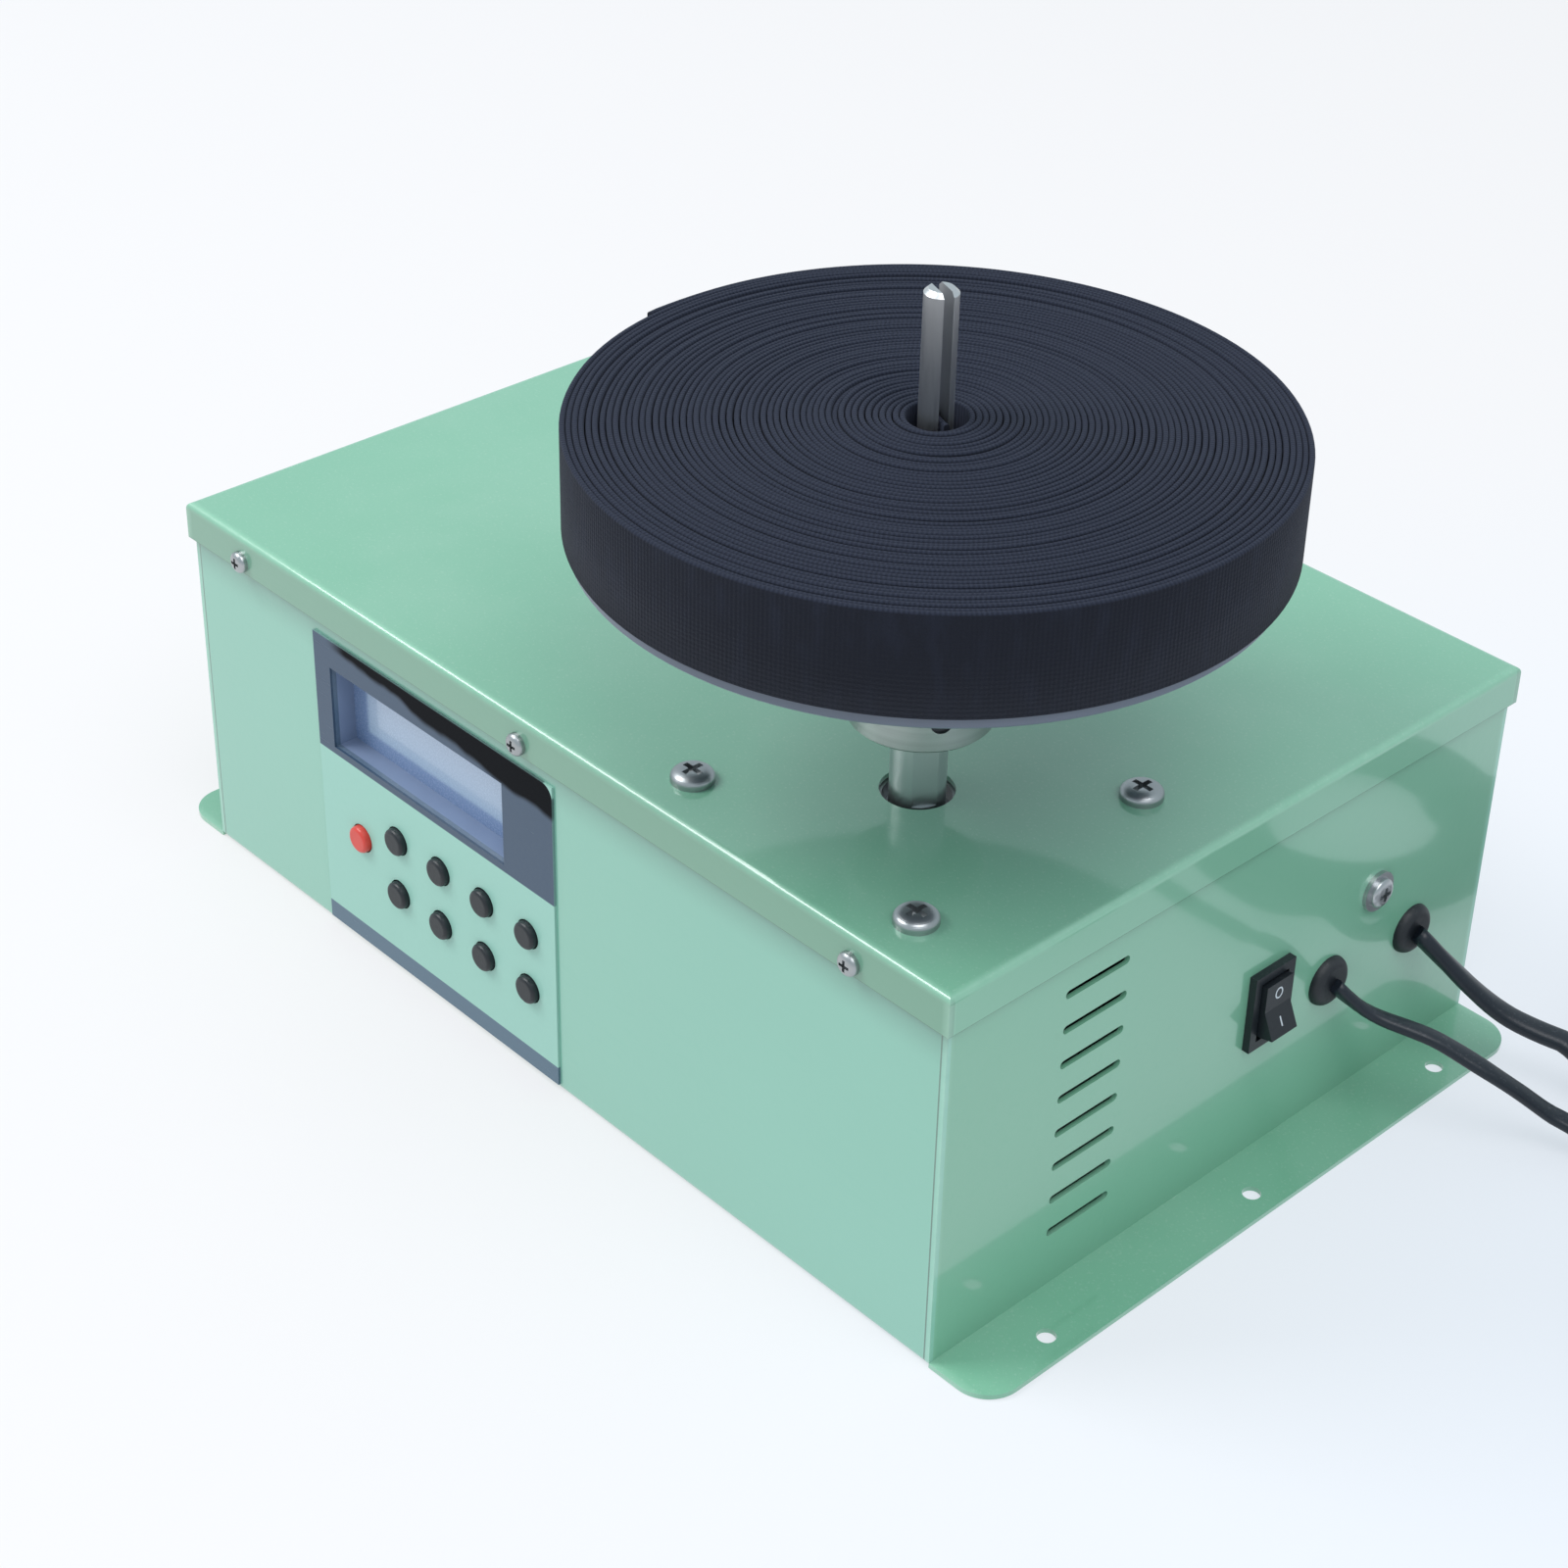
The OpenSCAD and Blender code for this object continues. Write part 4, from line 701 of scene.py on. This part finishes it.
def white_sweep():
    """Pale studio floor: mostly its own even light, with a painted cool shadow to the right of the machine."""
    material, tree, shader = finish_named("white_sweep", base_color=shade((0.27, 0.27, 0.28)), roughness=0.8)
    # Painted shadow: the floor's own light turns cooler to the right of the machine.
    apart = put(tree, "ShaderNodeVectorMath", {0: object_place(tree), 1: (0.42, 0.12, 0.0)},
                operation="DISTANCE").outputs["Value"]
    wander = calc(tree, "MULTIPLY_ADD", noise(tree, 3.0, 1.0), 0.10, apart)
    painted_shadow_tint = fade(tree, wander, 0.62, 0.22)
    tree.links.new(tinted(tree, painted_shadow_tint, shade((0.590, 0.580, 0.580)), shade((0.545, 0.585, 0.640))),
                   shader.inputs["Emission Color"])
    shader.inputs["Emission Strength"].default_value = 1.0
    return material


# ---- building ----

place_camera()

sheath = cord_sheath()
power_knots = [(136, 66.6, 38.5), (138, 67.8, 36.6), (140.4, 69.6, 33.6), (143.5, 72, 29.9), (148, 74.9, 25.1),
               (152.5, 77.8, 20.9), (157, 80.2, 18.1), (161.5, 82.4, 16.5), (166, 84.5, 15.4), (170, 86.2, 14.6),
               (176, 87.4, 11.6), (183, 87.9, 7.6), (190, 88.2, 4.8), (198, 89.4, 3), (206, 90.6, 2.2)]
power_coil = coiled((204, 136), 36, 6.4, 4.2, 3, -73, -53, 1)
power_tail = [(238, 104.4, 6), (244, 109, 4.8), (250, 113.4, 4.2), (256, 118, 4.8), (260, 121, 6), (264, 124, 6.8)]
signal_knots = [(136, 34.8, 39), (138.5, 37.8, 35.2), (141.5, 40.7, 31.9), (145.5, 43.4, 29.9), (151.5, 46.3, 28.9),
                (156.5, 49.1, 27.5), (161.5, 52.2, 24.8), (168.5, 56, 21), (174.5, 61.4, 15.5), (180, 66, 10.4),
                (184, 68.2, 8.6), (190, 70.6, 6.4), (197, 73, 4), (205, 74.8, 2.2), (214, 76, 1.6),
                (224, 76.8, 1.6), (234, 77.4, 1.6), (244, 78, 1.6)]
signal_coil = coiled((262, 42), 30, 5.4, 3.2, 3, 100, 0, -1)
signal_tail = [(300, 35, 4.4), (300, 28, 3.6), (300, 21, 3.8), (300, 14, 5.4), (300, 8, 7)]

power_tie = coil_tie("power_tie", (204, 136), 35.3, 20.8, 8.9, 120, sheath)
signal_tie = coil_tie("signal_tie", (262, 42), 29.3, 16.9, 6.9, -120, sheath)
power_cord = flat_cord("power_cord", np.vstack([power_knots, power_coil, power_tail]), 6.4, 4.2, 40, sheath,
                       far_end="plug", stiffness="medium", lay="coiled",
                       with_pieces=["power_plug", "plug_pins", "power_grommet", power_tie])
signal_cord = flat_cord("signal_cord", np.vstack([signal_knots, signal_coil, signal_tail]), 5.4, 3.2, 40, sheath,
                        far_end="connector", stiffness="medium", lay="coiled",
                        with_pieces=["signal_connector", "signal_grommet", signal_tie])
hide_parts("power_cord_run", "power_cord_coil", "power_cord_tail")
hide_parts("signal_cord_run", "signal_cord_coil", "signal_cord_tail")

wound_tape(woven_tape())
mark_paint = moulded("mark_paint", (0.55, 0.60, 0.64), 0.5)
round_way = np.linspace(0, 2 * np.pi, 36, endpoint=False)
rocker_mark("switch_mark_off", np.stack([1.15 * np.sin(round_way), 1.35 * np.cos(round_way)], 1), 0.45, 3.7, True,
            mark_paint)
rocker_mark("switch_mark_on", np.stack([np.zeros(12), np.linspace(-1.2, 1.2, 12)], 1), 0.5, -3.7, False, mark_paint)

case_half = (0.1337, 0.0947, 0.0993)
zinc = plain_metal("bright_zinc", (0.44, 0.46, 0.47), 0.34)
black_moulding = moulded("black_moulding", (0.006, 0.010, 0.014), 0.42)
dark_moulding = moulded("slate_moulding", (0.190, 0.250, 0.380), 0.45)
rubber = moulded("black_rubber", (0.007, 0.010, 0.014), 0.50, 1200.0, 0.00008, 0.08)
red_moulding = moulded("red_moulding", (0.620, 0.045, 0.030), 0.36, coat=0.15)
cast = plain_metal("cast_aluminium", (0.62, 0.63, 0.64), 0.46, 0.5, 500.0)
ground_steel = turned_metal("ground_steel", (0.62, 0.62, 0.63), 0.25, 6000.0)
black_oxide = plain_metal("black_oxide", (0.060, 0.062, 0.068), 0.38)
finishes = {
    "lid": case_enamel("lid_enamel", (0.135, 0.096, 0.1015), (0.1012, 0.0998)),
    "chassis": case_enamel("case_enamel", case_half, (0.0800, 0.0915), (0.205, 0.475, 0.365)),
    # The end panels take the lid's darker green, not the chassis's: this darker green on the right face is painted
    # shade.
    "left_end_panel": case_enamel("end_enamel", case_half, (0.0800, 0.0915)),
    "right_end_panel": None,
    "front_overlay": panel_film(),
    "display_shroud": dark_moulding,
    "lcd_glass": display_glass(),
    "lcd_backlight": moulded("light_guide", (0.70, 0.74, 0.72), 0.5),
    "control_board": circuit_board(),
    "tact_switches": black_moulding,
    "stop_button": red_moulding,
    "rocker_housing": black_moulding,
    "rocker_paddle": black_moulding,
    "rocker_terminals": plain_metal("tinned_brass", (0.66, 0.58, 0.40), 0.35),
    "power_grommet": rubber,
    "signal_grommet": rubber,
    "motor_spacer": zinc,
    "motor_flange": cast,
    "motor_rear_cap": cast,
    "motor_stator": laminations(),
    "motor_rotor": plain_metal("rotor_iron", (0.30, 0.30, 0.31), 0.45),
    "motor_shaft": drawn_metal("shaft_steel", (0.62, 0.65, 0.66), 0.38, 6000.0),
    "front_bearing": ground_steel,
    "rear_bearing": ground_steel,
    "hub": turned_metal("hub_aluminium", (0.42, 0.46, 0.45), 0.38, 5000.0),
    "hub_grub_screws": black_oxide,
    "platter": moulded("platter_paint", (0.105, 0.130, 0.175), 0.42, 1100.0, 0.00008, 0.10, 0.2),
    "platter_screws": black_oxide,
    "winding_pin": drawn_metal("pin_steel", (0.66, 0.67, 0.68), 0.34, 7000.0),
    "power_supply": plain_metal("supply_case", (0.58, 0.59, 0.60), 0.42, 0.4),
    "motor_driver": black_moulding,
    "terminal_blocks": moulded("terminal_plastic", (0.020, 0.110, 0.260), 0.45),
    "power_plug": rubber,
    "plug_pins": zinc,
    "signal_connector": rubber,
}
finishes["right_end_panel"] = finishes["left_end_panel"]
for part, part_object in parts.items():
    finish = finishes.get(part) or (black_moulding if "key" in part else zinc)
    part_object.data.materials.clear()
    part_object.data.materials.append(finish)

floor_mesh = bpy.data.meshes.new("floor")
floor_mesh.from_pydata([(-6, -6, 0), (6, -6, 0), (6, 6, 0), (-6, 6, 0)], [], [(0, 1, 2, 3)])
floor_mesh.transform(Matrix.Translation((0, 0, -0.0002)))
floor = bpy.data.objects.new("floor", floor_mesh)
bpy.context.scene.collection.objects.link(floor)
floor_mesh.materials.append(white_sweep())

soft_lamp("window_light", (-1.15, -1.05, 1.75), (0.0, 0.0, 0.1), 1.1, 30.0, (1.0, 1.0, 1.0))
soft_lamp("side_light", (0.8, -0.3, 1.6), (0.0, 0.0, 0.1), 1.1, 12.5, (1.0, 0.98, 1.0))
world = bpy.data.worlds.new("studio")
bpy.context.scene.world = world
world.use_nodes = True
world.node_tree.nodes["Background"].inputs["Color"].default_value = (0.80, 0.93, 1.0, 1.0)
world.node_tree.nodes["Background"].inputs["Strength"].default_value = 0.74
bpy.context.scene.view_settings.view_transform = "Standard"
